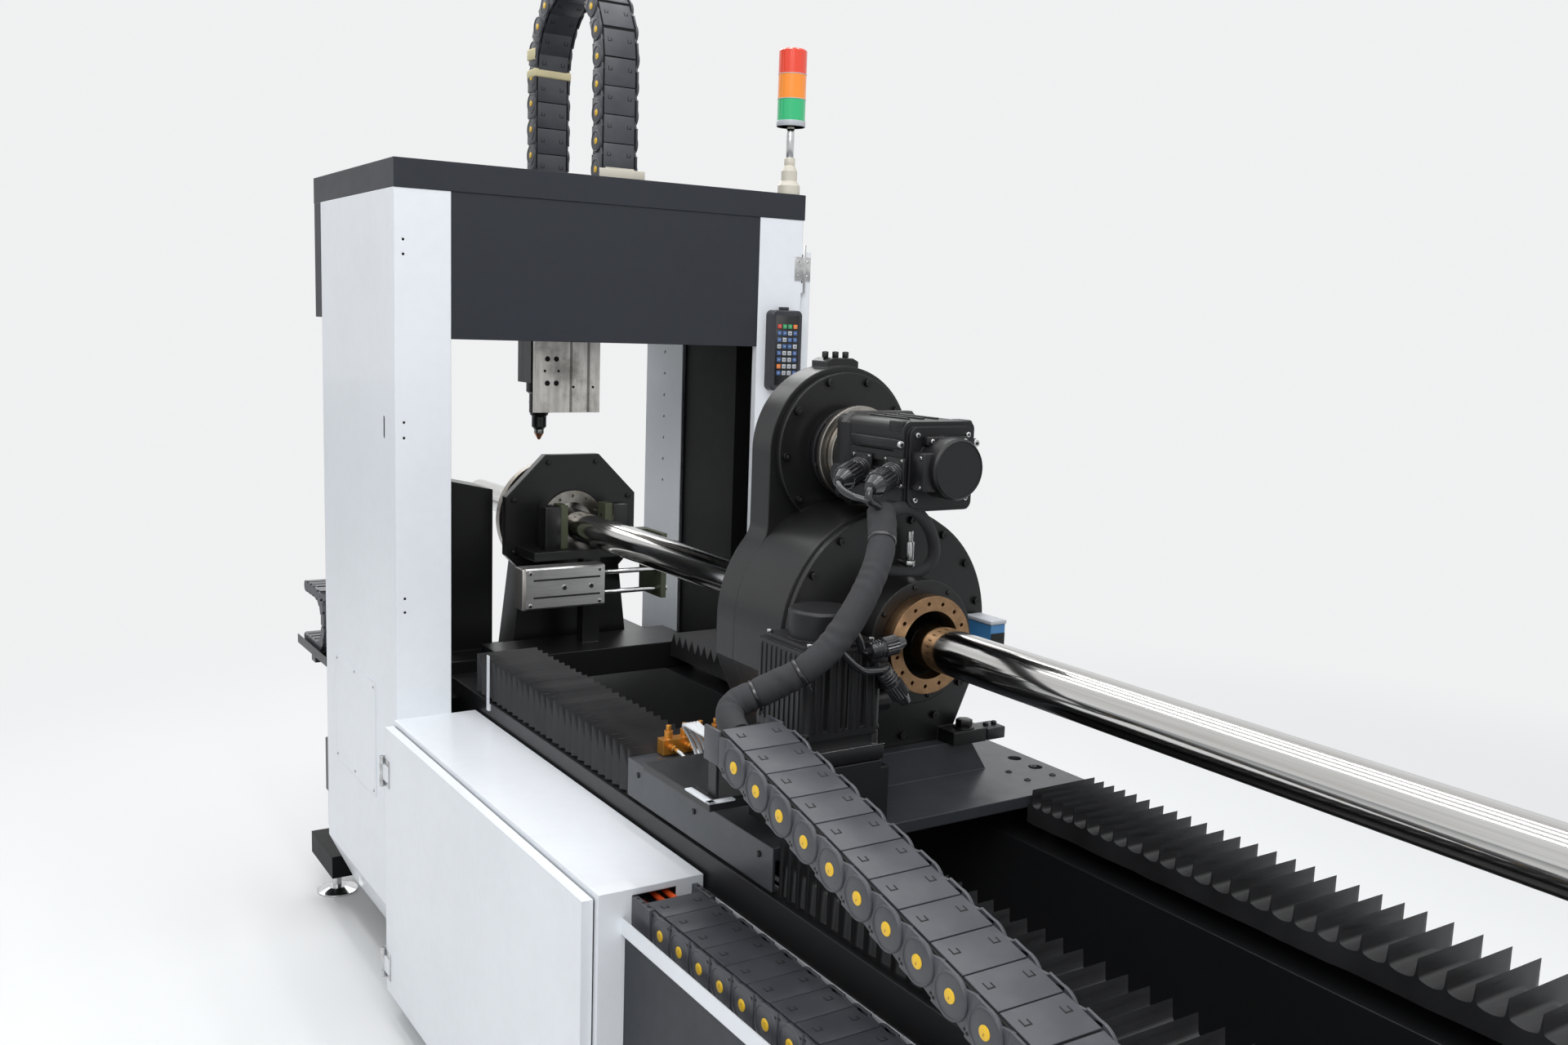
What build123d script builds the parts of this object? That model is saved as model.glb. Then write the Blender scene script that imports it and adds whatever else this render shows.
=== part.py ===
from build123d import *
import math
import os

# Bed: two long box beams on legs, joined by cross members over a chip pan
bed_length = 3940
beam_inner = 175
beam_outer = 332
beam_bottom = 430
beam_top = 730
beam_wall = 12
end_plate = 8
leg_size = 100
leg_centre = 255
leg_inset = 120
leg_rows = 5
cross_height = 60
pan_level = 470
pan_thickness = 6
foot_radius = 54.5
foot_height = 14
stud_radius = 12
foot_lift = 75

# Guide rails, rack and pinion
rail_x = 300
rail_width = 23
rail_height = 24
rail_front = -bed_length / 2 + 15
rail_rear = 1040
tooth_module = 5
pinion_teeth = 16
pinion_thickness = 22
rack_back = -262
rack_height = 26
rack_front = -810
rack_rear = 500
mesh_backlash = 0.7

# Portal
portal_front = 1050
portal_rear = 1650
portal_top = 1857
column_left_out = -520
column_left_in = -395
column_right_in = 390
column_right_out = 516
column_foot = 88
column_fold = 224
column_fold_in = 65
sheet = 2.5
post_inner = 400
post_outer = 500
post_front = 1165
post_rear = 1438
post_foot = 92
post_low = 204
crossbeam_depth = 150
saddle_depth = 35
crossbeam_low = 1590
crossbeam_high = 1840
cap_rear = 1715
cap_height = 62
cap_wall = 3
cap_lip = 1
panel_low = 1540
panel_depth = 25
rear_cover_low = 1576
foot_beam_rear = 1880

# Base cabinet and its door
cabinet_left = -527
cabinet_right = -338
cabinet_front = -25
cabinet_low = 40
cabinet_top = 695
door_gap = 3
door_thickness = 20
door_front = -12
door_rear = 1040
door_low = 70
door_high = 685
hinge_radius = 5
hinge_height = 70

# Side door on the right of the portal
leaf_gap = 2
leaf_depth = 32
leaf_in = column_right_out + leaf_gap
leaf_out = leaf_in + leaf_depth
leaf_top = 1780
leaf_low = 100
latch_radius = 14
latch_height = 10
latch_levels = [520, 1360]

# Cable tray and the carriage's energy chain
tray_left = -486
tray_level = 622
tray_front = -bed_length / 2 + 70
tray_wall = 2
tray_left_rail = 28
tray_right_rail = 44
chain_left = -466
chain_right = -352
chain_pitch = 60.5
chain_height = 58
chain_wall = 5
chain_end_y = -265
chain_end_z = 1000
chain_slope = 14
chain_bend = 88
chain_fixed_y = -57

# Top energy chain
arch_left = -10
arch_right = 88
arch_setback = 100
arch_front = portal_front + arch_setback
arch_radius = 200
arch_pitch = 65
arch_height = 50
arch_straight = 4
arch_rear_links = 8

# Carriage
carriage_front = -230
carriage_rear = 265
carriage_half = 335
plate_top = 810
plate_thickness = 20
skirt_low = 740
skirt_thickness = 5
base_top = 870
base_half = 215
base_front = -80
base_rear = 200

# Chuck on the carriage
axis_z = 1080
drum_radius = 213
drum_front = -40
drum_back = 110
layer_back = 170
side_drop = 65
foot_half = 150
head_z = 1377
head_radius = 150
neck_fillet = 45
cover_radius = 209
cover_thickness = 15
head_cover_radius = 140
spindle_radius = 80
bore_radius = 57.5
running = 0.4
nose_radius = 105
nose_front = -144.5
ring_radius = 82.5
ring_thickness = 25
tube_radius = 38
tube_wall = 3
tube_front = -1450
tube_rear = 1940
jaw_plate_radius = 150
jaw_plate_front = 172
jaw_plate_rear = 200
jaw_width = 44
jaw_reach = 96
jaw_depth = 34
roller_radius = 16
roller_length = 30
grip_gap = 0.3
seat_gap = 0.3
jaw_open = 40

# Fixed chuck in the portal
octagon_across = 350
octagon_front = 1285
octagon_thickness = 25
front_body_radius = 120
front_body_rear = 1390
front_ring_radius = 84
front_bore = 54

# Motors
spin_motor_size = 146
spin_motor_front = -165
spin_motor_rear = 20
spin_cap_radius = 50
spin_cap_front = -220
travel_motor_size = 148
travel_motor_low = 960
travel_motor_high = 1100
travel_cap_radius = 52.5
travel_cap_top = 1154
gearbox_low = 915
motor_corner = 14
fin_depth = 5
cap_plate = 8
travel_motor_x = -200
travel_motor_y = -137

# Clamps beside the tube
clamp_y = 1215
clamp_gap = 50
clamp_low = 1032
clamp_high = 1140
clamp_half = 22
cylinder_left = -197
cylinder_right = 7
cylinder_y = 1125
cylinder_half = 25
cylinder_low = 905
cylinder_high = 1005
rod_levels = [930, 980]
rod_radius = 6
rod_end = 180
side_box_left = -300
side_box_right = -185
side_box_top = 1190

# Cutting head
head_plate_left = -77
head_plate_right = 100
head_plate_thickness = 14
head_rail_depth = 20
nozzle_reach = 158
head_plate_low = 1356
nozzle_before_chain = 47
nozzle_y = arch_front + 2 * arch_radius - nozzle_before_chain
head_plate_y = nozzle_y - nozzle_reach
saddle_rear = head_plate_y - head_rail_depth
crossbeam_rear = saddle_rear - saddle_depth
crossbeam_front = crossbeam_rear - crossbeam_depth
nozzle_tip = 1274

# Bellows
bellows_in = 182
bellows_out = 330
bellows_low = 762
bellows_valley = 796
bellows_peak = 822
bellows_skirt_low = 734
fold_depth = 9


def block(x_low, x_high, y_low, y_high, z_low, z_high):
    middle = Pos((x_low + x_high) / 2, (y_low + y_high) / 2, (z_low + z_high) / 2)
    return middle * Box(x_high - x_low, y_high - y_low, z_high - z_low)


def rod(axis, radius, low, high, a, b):
    middle = (low + high) / 2
    if axis == "x":
        return Pos(middle, a, b) * Rot(0, 90, 0) * Cylinder(radius, high - low)
    if axis == "y":
        return Pos(a, middle, b) * Rot(90, 0, 0) * Cylinder(radius, high - low)
    return Pos(a, b, middle) * Cylinder(radius, high - low)


def ring(axis, outer, inner, low, high, a, b):
    return rod(axis, outer, low, high, a, b) - rod(axis, inner, low - 1, high + 1, a, b)


def prism(axis, points, low, high):
    face = make_face(Polyline(*points, close=True))
    if axis == "x":
        return extrude(Plane.YZ.offset(low) * face, amount=high - low)
    if axis == "y":
        return extrude(Plane.XZ.offset(-high) * face, amount=high - low)
    return extrude(Plane.XY.offset(low) * face, amount=high - low)


def other_side(shape):
    return mirror(shape, about=Plane.YZ)


def save(name, *shapes):
    solids = []
    for shape in shapes:
        solids += shape.solids()
    export_step(solids[0] if len(solids) == 1 else Compound(children=solids), f"parts/{name}.step")


os.makedirs("parts", exist_ok=True)
bed_half = bed_length / 2
leg_span = bed_length - 2 * leg_inset
leg_places = [-leg_span / 2 + i * leg_span / (leg_rows - 1) for i in range(leg_rows)]

# Bed frame
beam = block(beam_inner, beam_outer, -bed_half, bed_half, beam_bottom, beam_top)
beam -= block(beam_inner + beam_wall, beam_outer - beam_wall, -bed_half + end_plate,
              bed_half - end_plate, beam_bottom + beam_wall, beam_top - beam_wall)
bed = beam + other_side(beam)
for y in leg_places:
    for side in (-1, 1):
        bed += block(side * leg_centre - leg_size / 2, side * leg_centre + leg_size / 2,
                     y - leg_size / 2, y + leg_size / 2, foot_lift + 10, beam_bottom)
        bed += block(side * leg_centre - leg_size * 0.6, side * leg_centre + leg_size * 0.6,
                     y - leg_size * 0.6, y + leg_size * 0.6, foot_lift, foot_lift + 10)
    bed += block(-beam_inner, beam_inner, y - leg_size / 2, y + leg_size / 2,
                 pan_level - cross_height, pan_level)
bed += block(-beam_inner, beam_inner, -bed_half, bed_half, pan_level, pan_level + pan_thickness)
save("bed_frame", bed)

# Levelling feet under the legs and the portal's foot beams
foot_beam_x = 462
portal_foot_places = [1120, 1800]
foot_shape = revolve(Plane.XZ * make_face(Polyline(
    (0, 0), (foot_radius, 0), (foot_radius, 5), (foot_radius * 0.45, foot_height),
    (stud_radius, foot_height), (stud_radius, foot_lift), (0, foot_lift), close=True)), Axis.Z)
feet = []
for y in leg_places:
    for side in (-1, 1):
        feet.append(Pos(side * leg_centre, y, 0) * foot_shape)
post_foot_shape = revolve(Plane.XZ * make_face(Polyline(
    (0, 0), (foot_radius, 0), (foot_radius, 5), (foot_radius * 0.45, foot_height),
    (stud_radius, foot_height), (stud_radius, post_foot), (0, post_foot), close=True)), Axis.Z)
for side in (-1, 1):
    feet.append(Pos(side * foot_beam_x, portal_foot_places[1], 0) * post_foot_shape)
    feet.append(Pos(side * (post_inner + 27), portal_foot_places[0], 0) * post_foot_shape)
save("levelling_feet", *feet)

# Guide rails and the toothed rack
half = rail_width / 2
rail_section = [(-half, 0), (half, 0), (half, 8), (half - 4, 12), (half - 4, 15), (half, 18),
                (half, rail_height), (-half, rail_height), (-half, 18), (-half + 4, 15),
                (-half + 4, 12), (-half, 8)]
rails = []
for side in (-1, 1):
    placed = [(side * rail_x + x, beam_top + z) for x, z in rail_section]
    rails.append(prism("y", placed, rail_front, rail_rear))
pitch_radius = tooth_module * pinion_teeth / 2
tooth_pitch = math.pi * tooth_module
pitch_line = travel_motor_x - pitch_radius
slope = math.tan(math.radians(20))
half_tooth = tooth_pitch / 4 - mesh_backlash / 2
teeth = [(rack_back, rack_front), (rack_back, rack_rear), (pitch_line - tooth_module * 1.25, rack_rear)]
count = int((rack_rear - travel_motor_y) / tooth_pitch)
first = int((rack_front - travel_motor_y) / tooth_pitch)
for i in range(count - 1, first, -1):
    y = travel_motor_y + (i + 0.5) * tooth_pitch
    root = half_tooth + 1.25 * tooth_module * slope
    tip = half_tooth - tooth_module * slope
    teeth.append((pitch_line - tooth_module * 1.25, y + root))
    teeth.append((pitch_line + tooth_module, y + tip))
    teeth.append((pitch_line + tooth_module, y - tip))
    teeth.append((pitch_line - tooth_module * 1.25, y - root))
teeth.append((pitch_line - tooth_module * 1.25, rack_front))
rack = prism("z", teeth, beam_top, beam_top + rack_height)
save("guide_rails", *rails, rack)

# Portal frame: posts, cross beam and foot beams
frame = None
for side in (-1, 1):
    low, high = sorted((side * post_inner, side * post_outer))
    piece = block(low, high, post_front, post_rear, post_low, portal_top)
    piece -= block(low + 8, high - 8, post_front + 8, post_rear - 8, post_low + 8, portal_top - 8)
    inner, outer = sorted((side * post_inner, side * (post_inner + 52)))
    piece += block(inner, outer, post_front, post_rear, post_foot, post_low)
    piece += block(inner, outer, portal_front + 10, post_front, post_foot, post_foot + 60)
    piece += block(inner, outer, post_rear, foot_beam_rear, post_foot, post_foot + 60)
    inner, outer = sorted((side * post_inner, side * (post_outer + 10)))
    piece += block(inner, outer, portal_rear + 12, foot_beam_rear, post_foot, post_foot + 60)
    inner, outer = sorted((side * beam_outer, side * post_inner))
    piece += block(inner, outer, post_front + 20, post_rear - 20, beam_bottom + 40, beam_top - 40)
    frame = piece if frame is None else frame + piece
frame += block(-post_inner, post_inner, crossbeam_front, crossbeam_rear, crossbeam_low, crossbeam_high)
frame -= block(-post_inner + 20, post_inner - 20, crossbeam_front + 8, crossbeam_rear - 8,
               crossbeam_low + 8, crossbeam_high - 8)
frame += block(head_plate_left + 7, head_plate_right - 10, crossbeam_rear, saddle_rear,
               crossbeam_low + 10, crossbeam_high - 10)
for x in (-50, 65):
    frame += block(x - 11, x + 11, saddle_rear, head_plate_y - seat_gap, crossbeam_low + 20, crossbeam_high - 20)
save("portal_frame", frame)

# Column covers: folded sheet, open towards the posts
left_outline = [(column_left_out, portal_top), (column_left_in, portal_top),
                (column_left_in, column_foot), (column_left_out + column_fold_in, column_foot),
                (column_left_out, column_fold)]
left_cover = prism("y", left_outline, portal_front, portal_rear)
inner_outline = [(column_left_out + sheet, portal_top + 1), (column_left_in + 1, portal_top + 1),
                 (column_left_in + 1, column_foot - 1), (column_left_out + column_fold_in + 3, column_foot - 1),
                 (column_left_out + sheet, column_fold - 2)]
left_cover -= prism("y", inner_outline, portal_front + sheet, portal_rear - sheet)
for z in (1749, 1718, 1358, 1324, 968, 937):
    left_cover -= rod("y", 3, portal_front - 1, portal_front + sheet + 1, -500, z)
left_cover -= Pos(column_left_out, 1132, 1342) * Rot(0, 90, 0) * extrude(SlotOverall(52, 14), amount=8, both=True)
left_cover -= block(column_left_in - 60, column_left_in + 1, portal_rear - 5, portal_rear + 1, column_foot - 1, post_foot + 61)
access = block(column_left_out - sheet, column_left_out, 1210, 1550, 465, 740)
save("left_column_cover", left_cover, access)

right_outline = [(column_right_out, portal_top), (column_right_in, portal_top),
                 (column_right_in, column_foot), (column_right_out, column_foot)]
right_cover = prism("y", right_outline, portal_front, portal_rear)
right_cover -= block(column_right_in + sheet, column_right_out + 1, portal_front + sheet,
                     portal_rear - sheet, column_foot - 1, portal_top + 1)
right_cover -= block(column_right_in - 1, column_right_in + sheet + 1, portal_front + 20,
                     post_rear, column_foot - 1, portal_top + 1)
right_cover -= block(column_right_in - 1, column_right_in + 64, portal_rear - 5, portal_rear + 1, column_foot - 1, post_foot + 61)
for i in range(9):
    right_cover -= rod("x", 4, column_right_in - 1, column_right_in + sheet + 1, 1540, 1150 + 60 * i)
side_knuckle_x = leaf_in + 6
side_knuckle_y = portal_front + 4
side_hinge_levels = [400, 1737]
for z in side_hinge_levels:
    for low, high in ((z - 60, z - 35.3), (z + 35.3, z + 60)):
        right_cover += rod("z", 5, low, high, side_knuckle_x, side_knuckle_y)
        right_cover += block(column_right_out - 20, side_knuckle_x, portal_front, portal_front + sheet, low, high)
    right_cover -= rod("z", 2.8, z - 61, z + 61, side_knuckle_x, side_knuckle_y)
save("right_column_cover", right_cover)

# Cap with the slot for the energy chain
cap = block(column_left_out, column_right_out + 4, portal_front - cap_lip, cap_rear, portal_top, portal_top + cap_height)
cap -= block(column_left_out + cap_wall, column_right_out + 4 - cap_wall, portal_front - cap_lip + cap_wall,
             cap_rear - cap_wall, portal_top - 1, portal_top + cap_height - cap_wall)
cap -= block(arch_left - 12, arch_right + 12, arch_front + 2 * arch_radius - 45,
             arch_front + 2 * arch_radius + 45, portal_top, portal_top + cap_height + 1)
save("top_cap", cap)

# Front panel and rear cover of the portal, folded trays
front_panel = block(column_left_in, column_right_in, portal_front + 1,
                    portal_front + panel_depth, panel_low, portal_top)
front_panel -= block(column_left_in + sheet, column_right_in - sheet, portal_front + 1 + sheet,
                     portal_front + panel_depth + 1, panel_low + sheet, portal_top - sheet)
save("front_panel", front_panel)
rear_cover = block(column_left_out, column_right_out, portal_rear, cap_rear - cap_wall - 1,
                   rear_cover_low, portal_top)
rear_cover -= block(column_left_out + sheet, column_right_out - sheet, portal_rear - 1,
                    cap_rear - cap_wall - 1 - sheet, rear_cover_low + sheet, portal_top - sheet)
save("rear_cover", rear_cover)

# Base cabinet: sheet box with a door opening and a mouth for the chain
cabinet = block(cabinet_left, cabinet_right, cabinet_front, portal_front, cabinet_low, cabinet_top)
cabinet -= block(cabinet_left + sheet, cabinet_right - sheet, cabinet_front + sheet,
                 portal_front - sheet, cabinet_low + sheet, cabinet_top - sheet)
cabinet -= block(cabinet_left - 1, cabinet_left + sheet + 1, door_front + 32, door_rear - 40,
                 door_low + 20, door_high - 25)
cabinet -= block(chain_left - 2, chain_left + 78, cabinet_front - 1, cabinet_front + sheet + 1,
                 tray_level + 20, cabinet_top - 11)
hinge_levels = [132, 583]
door = block(cabinet_left - door_gap - door_thickness, cabinet_left - door_gap, door_front, door_rear,
             door_low, door_high)
door -= block(cabinet_left - door_gap - door_thickness + sheet, cabinet_left - door_gap + 1,
              door_front + sheet, door_rear - sheet, door_low + sheet, door_high - sheet)
knuckle_x = cabinet_left - door_gap - door_thickness - hinge_radius
knuckle_y = door_rear + hinge_radius + 1
fixed_leaves = None
moving_leaves = None
for z in hinge_levels:
    quarter = hinge_height / 4
    fixed = ring("z", hinge_radius, 2.5, z - hinge_height / 2, z - quarter, knuckle_x, knuckle_y)
    fixed += ring("z", hinge_radius, 2.5, z + quarter, z + hinge_height / 2, knuckle_x, knuckle_y)
    moving = rod("z", hinge_radius, z - quarter + 0.3, z + quarter - 0.3, knuckle_x, knuckle_y)
    moving += rod("z", 2.2, z - hinge_height / 2, z + hinge_height / 2, knuckle_x, knuckle_y)
    moving += block(knuckle_x, knuckle_x + hinge_radius, door_rear - 30, knuckle_y,
                    z - quarter + 0.3, z + quarter - 0.3)
    plate = block(knuckle_x - hinge_radius, cabinet_left + 1, knuckle_y + hinge_radius - 3,
                  knuckle_y + hinge_radius, z - hinge_height / 2, z + hinge_height / 2)
    plate -= block(knuckle_x - 20, cabinet_left - door_gap + 2, knuckle_y, knuckle_y + 9,
                   z - quarter, z + quarter)
    fixed += plate
    fixed -= rod("z", 2.5, z - hinge_height, z + hinge_height, knuckle_x, knuckle_y)
    fixed_leaves = fixed if fixed_leaves is None else fixed_leaves + fixed
    moving_leaves = moving if moving_leaves is None else moving_leaves + moving
cabinet = cabinet + fixed_leaves
door = door + moving_leaves
save("base_cabinet", cabinet)
save("cabinet_door", door)

# Side door on the right: a folded leaf on two hinges
leaf = block(leaf_in, leaf_out, portal_front + 12, portal_rear, leaf_low, leaf_top)
leaf -= block(leaf_in - 1, leaf_out - sheet, portal_front + 12 + sheet, portal_rear - sheet,
              leaf_low + sheet, leaf_top - sheet)
for z in side_hinge_levels:
    leaf += rod("z", 5, z - 35, z + 35, side_knuckle_x, side_knuckle_y)
    leaf += rod("z", 2.5, z - 60, z + 60, side_knuckle_x, side_knuckle_y)
    leaf += block(side_knuckle_x - 2, side_knuckle_x + 2, side_knuckle_y, portal_front + 14, z - 35, z + 35)
for z in latch_levels:
    leaf += rod("x", latch_radius, leaf_out - 1, leaf_out + latch_height, portal_rear - 40, z)
save("side_door", leaf)

# Cable tray and the panel under it
tray = block(tray_left, -beam_outer, tray_front, cabinet_front, tray_level, tray_level + tray_wall)
tray += block(tray_left, tray_left + tray_wall, tray_front, cabinet_front, tray_level, tray_level + tray_left_rail)
tray += block(-beam_outer - tray_wall, -beam_outer, tray_front, cabinet_front, tray_level, tray_level + tray_right_rail)
save("cable_tray", tray)
panel = block(tray_left + 6, -beam_outer, tray_front + 10, cabinet_front - 1, cabinet_low + 20, tray_level)
panel -= block(tray_left + 6 + sheet, -beam_outer + 1, tray_front + 10 + sheet, cabinet_front - sheet,
               cabinet_low + 20 + sheet, tray_level - sheet)
save("tray_panel", panel)


def half_plate(u_pin, u_mid, radius):
    points = []
    sign = -1 if u_pin < u_mid else 1
    for i in range(7):
        angle = math.radians(-90 + 30 * i)
        points.append((u_pin + sign * radius * math.cos(angle), radius * math.sin(angle)))
    points.append((u_mid, radius))
    points.append((u_mid, -radius))
    return points


def chain_link(pitch, height, x_low, x_high):
    outer = half_plate(pitch, pitch / 2 - 2, height / 2)
    inner = half_plate(0, pitch / 2 + 1, height / 2 - 4)
    link = prism("x", outer, x_low, x_low + chain_wall)
    link += prism("x", inner, x_low + chain_wall, x_low + 2 * chain_wall)
    link += prism("x", outer, x_high - chain_wall, x_high)
    link += prism("x", inner, x_high - 2 * chain_wall, x_high - chain_wall)
    for low in (-height / 2, height / 2 - 4):
        link += block(x_low, x_high, pitch / 2 - 1.5, pitch / 2 + 12, low, low + 4)
        link += block(x_low + chain_wall, x_high - chain_wall, 6, pitch - 3, low, low + 4)
    return link


def lay_links(link, pins):
    placed = []
    for (y0, z0), (y1, z1) in zip(pins, pins[1:]):
        angle = math.degrees(math.atan2(z1 - z0, y1 - y0))
        placed.append(Pos(0, y0, z0) * Rot(angle, 0, 0) * link)
    return placed


# Carriage energy chain: lower run in the tray, bend, sloping upper run
def chain_route():
    low_z = tray_level + tray_wall + chain_height / 2
    tilt = math.radians(chain_slope)
    top_z = low_z + chain_bend * (1 + math.cos(tilt))
    run = (chain_end_z - top_z) / math.sin(tilt)
    top_y = chain_end_y - run * math.cos(tilt)
    centre_y = top_y + chain_bend * math.sin(tilt)
    return low_z, tilt, top_z, top_y, run, centre_y


low_z, tilt, top_z, top_y, upper_run, bend_y = chain_route()
bend_arc = chain_bend * (math.pi - tilt)
lower_run = chain_fixed_y - bend_y


def chain_point(s):
    if s < upper_run:
        return (chain_end_y - s * math.cos(tilt), chain_end_z - s * math.sin(tilt))
    s -= upper_run
    if s < bend_arc:
        angle = math.pi / 2 + tilt + s / chain_bend
        centre_z = low_z + chain_bend
        return (bend_y + chain_bend * math.cos(angle), centre_z + chain_bend * math.sin(angle))
    return (bend_y + s - bend_arc, low_z)


total = upper_run + bend_arc + lower_run
link_count = int(total / chain_pitch)
pins = [chain_point(total * i / link_count) for i in range(link_count + 1)]
link = chain_link(chain_pitch, chain_height, chain_left, chain_right)
save("carriage_chain", *lay_links(link, pins))
print("chain links", link_count, "pitch", round(total / link_count, 2))

# Top energy chain: arch over the cap down to the cutting head
arch_foot = portal_top + cap_height + 25
arch_top = arch_foot + arch_straight * arch_pitch
arch_pins = [(arch_front, arch_foot + i * arch_pitch) for i in range(arch_straight)]
steps = round(math.pi * arch_radius / arch_pitch)
for i in range(steps + 1):
    angle = math.pi - math.pi * i / steps
    arch_pins.append((arch_front + arch_radius + arch_radius * math.cos(angle), arch_top + arch_radius * math.sin(angle)))
for i in range(1, arch_rear_links + 1):
    arch_pins.append((arch_front + 2 * arch_radius, arch_top - i * arch_pitch))
arch_link = chain_link(arch_pitch, arch_height, arch_left, arch_right)
save("top_chain", *lay_links(arch_link, arch_pins[::-1]))
print("top chain links", len(arch_pins) - 1, "ends at", arch_pins[-1], "top", arch_top + arch_radius + arch_height / 2)

# Chain bracket and tower light mount on the cap
cap_top = portal_top + cap_height
bracket = block(arch_left + 12, arch_right - 12, arch_front - 31, arch_front + 60, cap_top, cap_top + 4)
bracket += block(arch_left + 11, arch_right - 11, arch_front - 4, arch_front, cap_top, cap_top + 40)
bracket += block(arch_left + 12, arch_right - 12, arch_front - 31, arch_front - 28, cap_top, cap_top + 30)
bracket -= rod("z", 4, cap_top - 1, cap_top + 5, arch_left + 24, arch_front + 50)
bracket -= rod("z", 4, cap_top - 1, cap_top + 5, arch_right - 24, arch_front + 50)
light_x = 488
light_y = 1080
light_radius = 35
mount = revolve(Plane.XZ * make_face(Polyline(
    (0, 0), (28, 0), (28, 22), (20, 34), (20, 58), (14, 70), (9, 91), (9, 166), (light_radius, 166),
    (light_radius, 172), (0, 172), close=True)), Axis.Z)
save("cap_fittings", bracket, Pos(light_x, light_y, cap_top) * mount)
tier = 60
lens_low = cap_top + 172
for i, colour in enumerate(["green", "amber", "red"]):
    z = lens_low + i * tier
    lens = rod("z", light_radius, z, z + tier, light_x, light_y)
    if colour == "red":
        lens = chamfer(lens.edges().group_by(Axis.Z)[-1], 4)
    save(f"light_{colour}", lens)

# Handheld keypad hung on the right column
pad = block(415, 505, portal_front - 30, portal_front, 1432, 1632)
pad = fillet(pad.edges().filter_by(Axis.Y), 14)
pad = chamfer(pad.faces().sort_by(Axis.Y)[0].edges(), 3)
save("handheld", pad)

# Fixed chuck in the portal: octagonal plate, body and pedestal
flat = octagon_across / 2
cut = flat * math.tan(math.radians(22.5))
octagon = [(-cut, axis_z + flat), (cut, axis_z + flat), (flat, axis_z + cut), (flat, axis_z - cut),
           (cut, axis_z - flat), (-cut, axis_z - flat), (-flat, axis_z - cut), (-flat, axis_z + cut)]
housing = prism("y", octagon, octagon_front, octagon_front + octagon_thickness)
housing += rod("y", front_body_radius, octagon_front + octagon_thickness, front_body_rear, 0, axis_z)
pedestal = [(-flat * 0.9, beam_top + 30), (flat * 0.9, beam_top + 30), (flat * 0.72, axis_z - 60),
            (-flat * 0.72, axis_z - 60)]
housing += prism("y", pedestal, octagon_front, front_body_rear - 10)
housing -= rod("y", front_ring_radius + running, octagon_front - 1, front_body_rear + 1, 0, axis_z)
save("front_chuck_housing", housing)

# Bridge over the beams that carries the fixed chuck, the clamp rail and the side box
bridge_thickness = 30
bridge_post_front = cylinder_y + cylinder_half + 10
bridge = block(-beam_outer, beam_outer, octagon_front - 35, front_body_rear + 20, beam_top, beam_top + bridge_thickness)
bridge += block(-250, 250, 1085, octagon_front - 35, beam_top + 2, beam_top + 68)
bridge += block(-22, 22, bridge_post_front, bridge_post_front + 36, beam_top + 68, clamp_low - 22)
bridge += block(-150, 150, bridge_post_front, octagon_front, clamp_low - 22, clamp_low)
bridge -= block(-front_ring_radius - 3, front_ring_radius + 3, octagon_front - 12, octagon_front + 1,
                clamp_low - 30, clamp_low + 5)
side_box_low = side_box_top - 90
side_box = [(side_box_left, side_box_low), (side_box_right, side_box_low), (side_box_right, side_box_top - 25),
            (side_box_left, side_box_top)]
box_piece = prism("y", side_box, octagon_front + 65, octagon_front + 215)
box_piece += block(side_box_left, side_box_right, octagon_front + 65, front_body_rear + 20 + 10,
                   beam_top + bridge_thickness, side_box_low)
save("chuck_bridge", bridge, box_piece)

# Clamp cylinder, moving clamps and rods
cylinder_rear = cylinder_y + cylinder_half
cylinder = block(cylinder_left, cylinder_right, cylinder_y - cylinder_half, cylinder_rear, cylinder_low, cylinder_high)
cylinder = chamfer(cylinder.edges().filter_by(Axis.X), 4)
for z in rod_levels:
    cylinder -= rod("x", rod_radius + 0.3, cylinder_left + 27, cylinder_right + 1, cylinder_y, z)
cylinder += block(cylinder_left + 37, cylinder_right - 7, cylinder_rear, bridge_post_front, cylinder_low + 20, cylinder_high - 15)
save("clamp_cylinder", cylinder)

left_clamp = block(-clamp_gap - 20, -clamp_gap, clamp_y - clamp_half, clamp_y + clamp_half,
                   clamp_low + seat_gap, clamp_high)
left_clamp += block(-clamp_gap - 60, -clamp_gap - 20, clamp_y - clamp_half - 4, clamp_y + clamp_half + 4,
                    clamp_low + seat_gap, clamp_high - 30)
save("left_clamp", left_clamp)
right_clamp = other_side(left_clamp)
right_clamp += block(clamp_gap + 60, rod_end, clamp_y - 16, clamp_y + 16, clamp_low + 8, clamp_low + 38)
right_clamp += block(rod_end - 14, rod_end, cylinder_y - 17, clamp_y + 16, cylinder_low + 2, clamp_low + 38)
for z in rod_levels:
    right_clamp += rod("x", rod_radius, -clamp_gap - 10, rod_end - 10, cylinder_y, z)
save("right_clamp", right_clamp)

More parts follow.
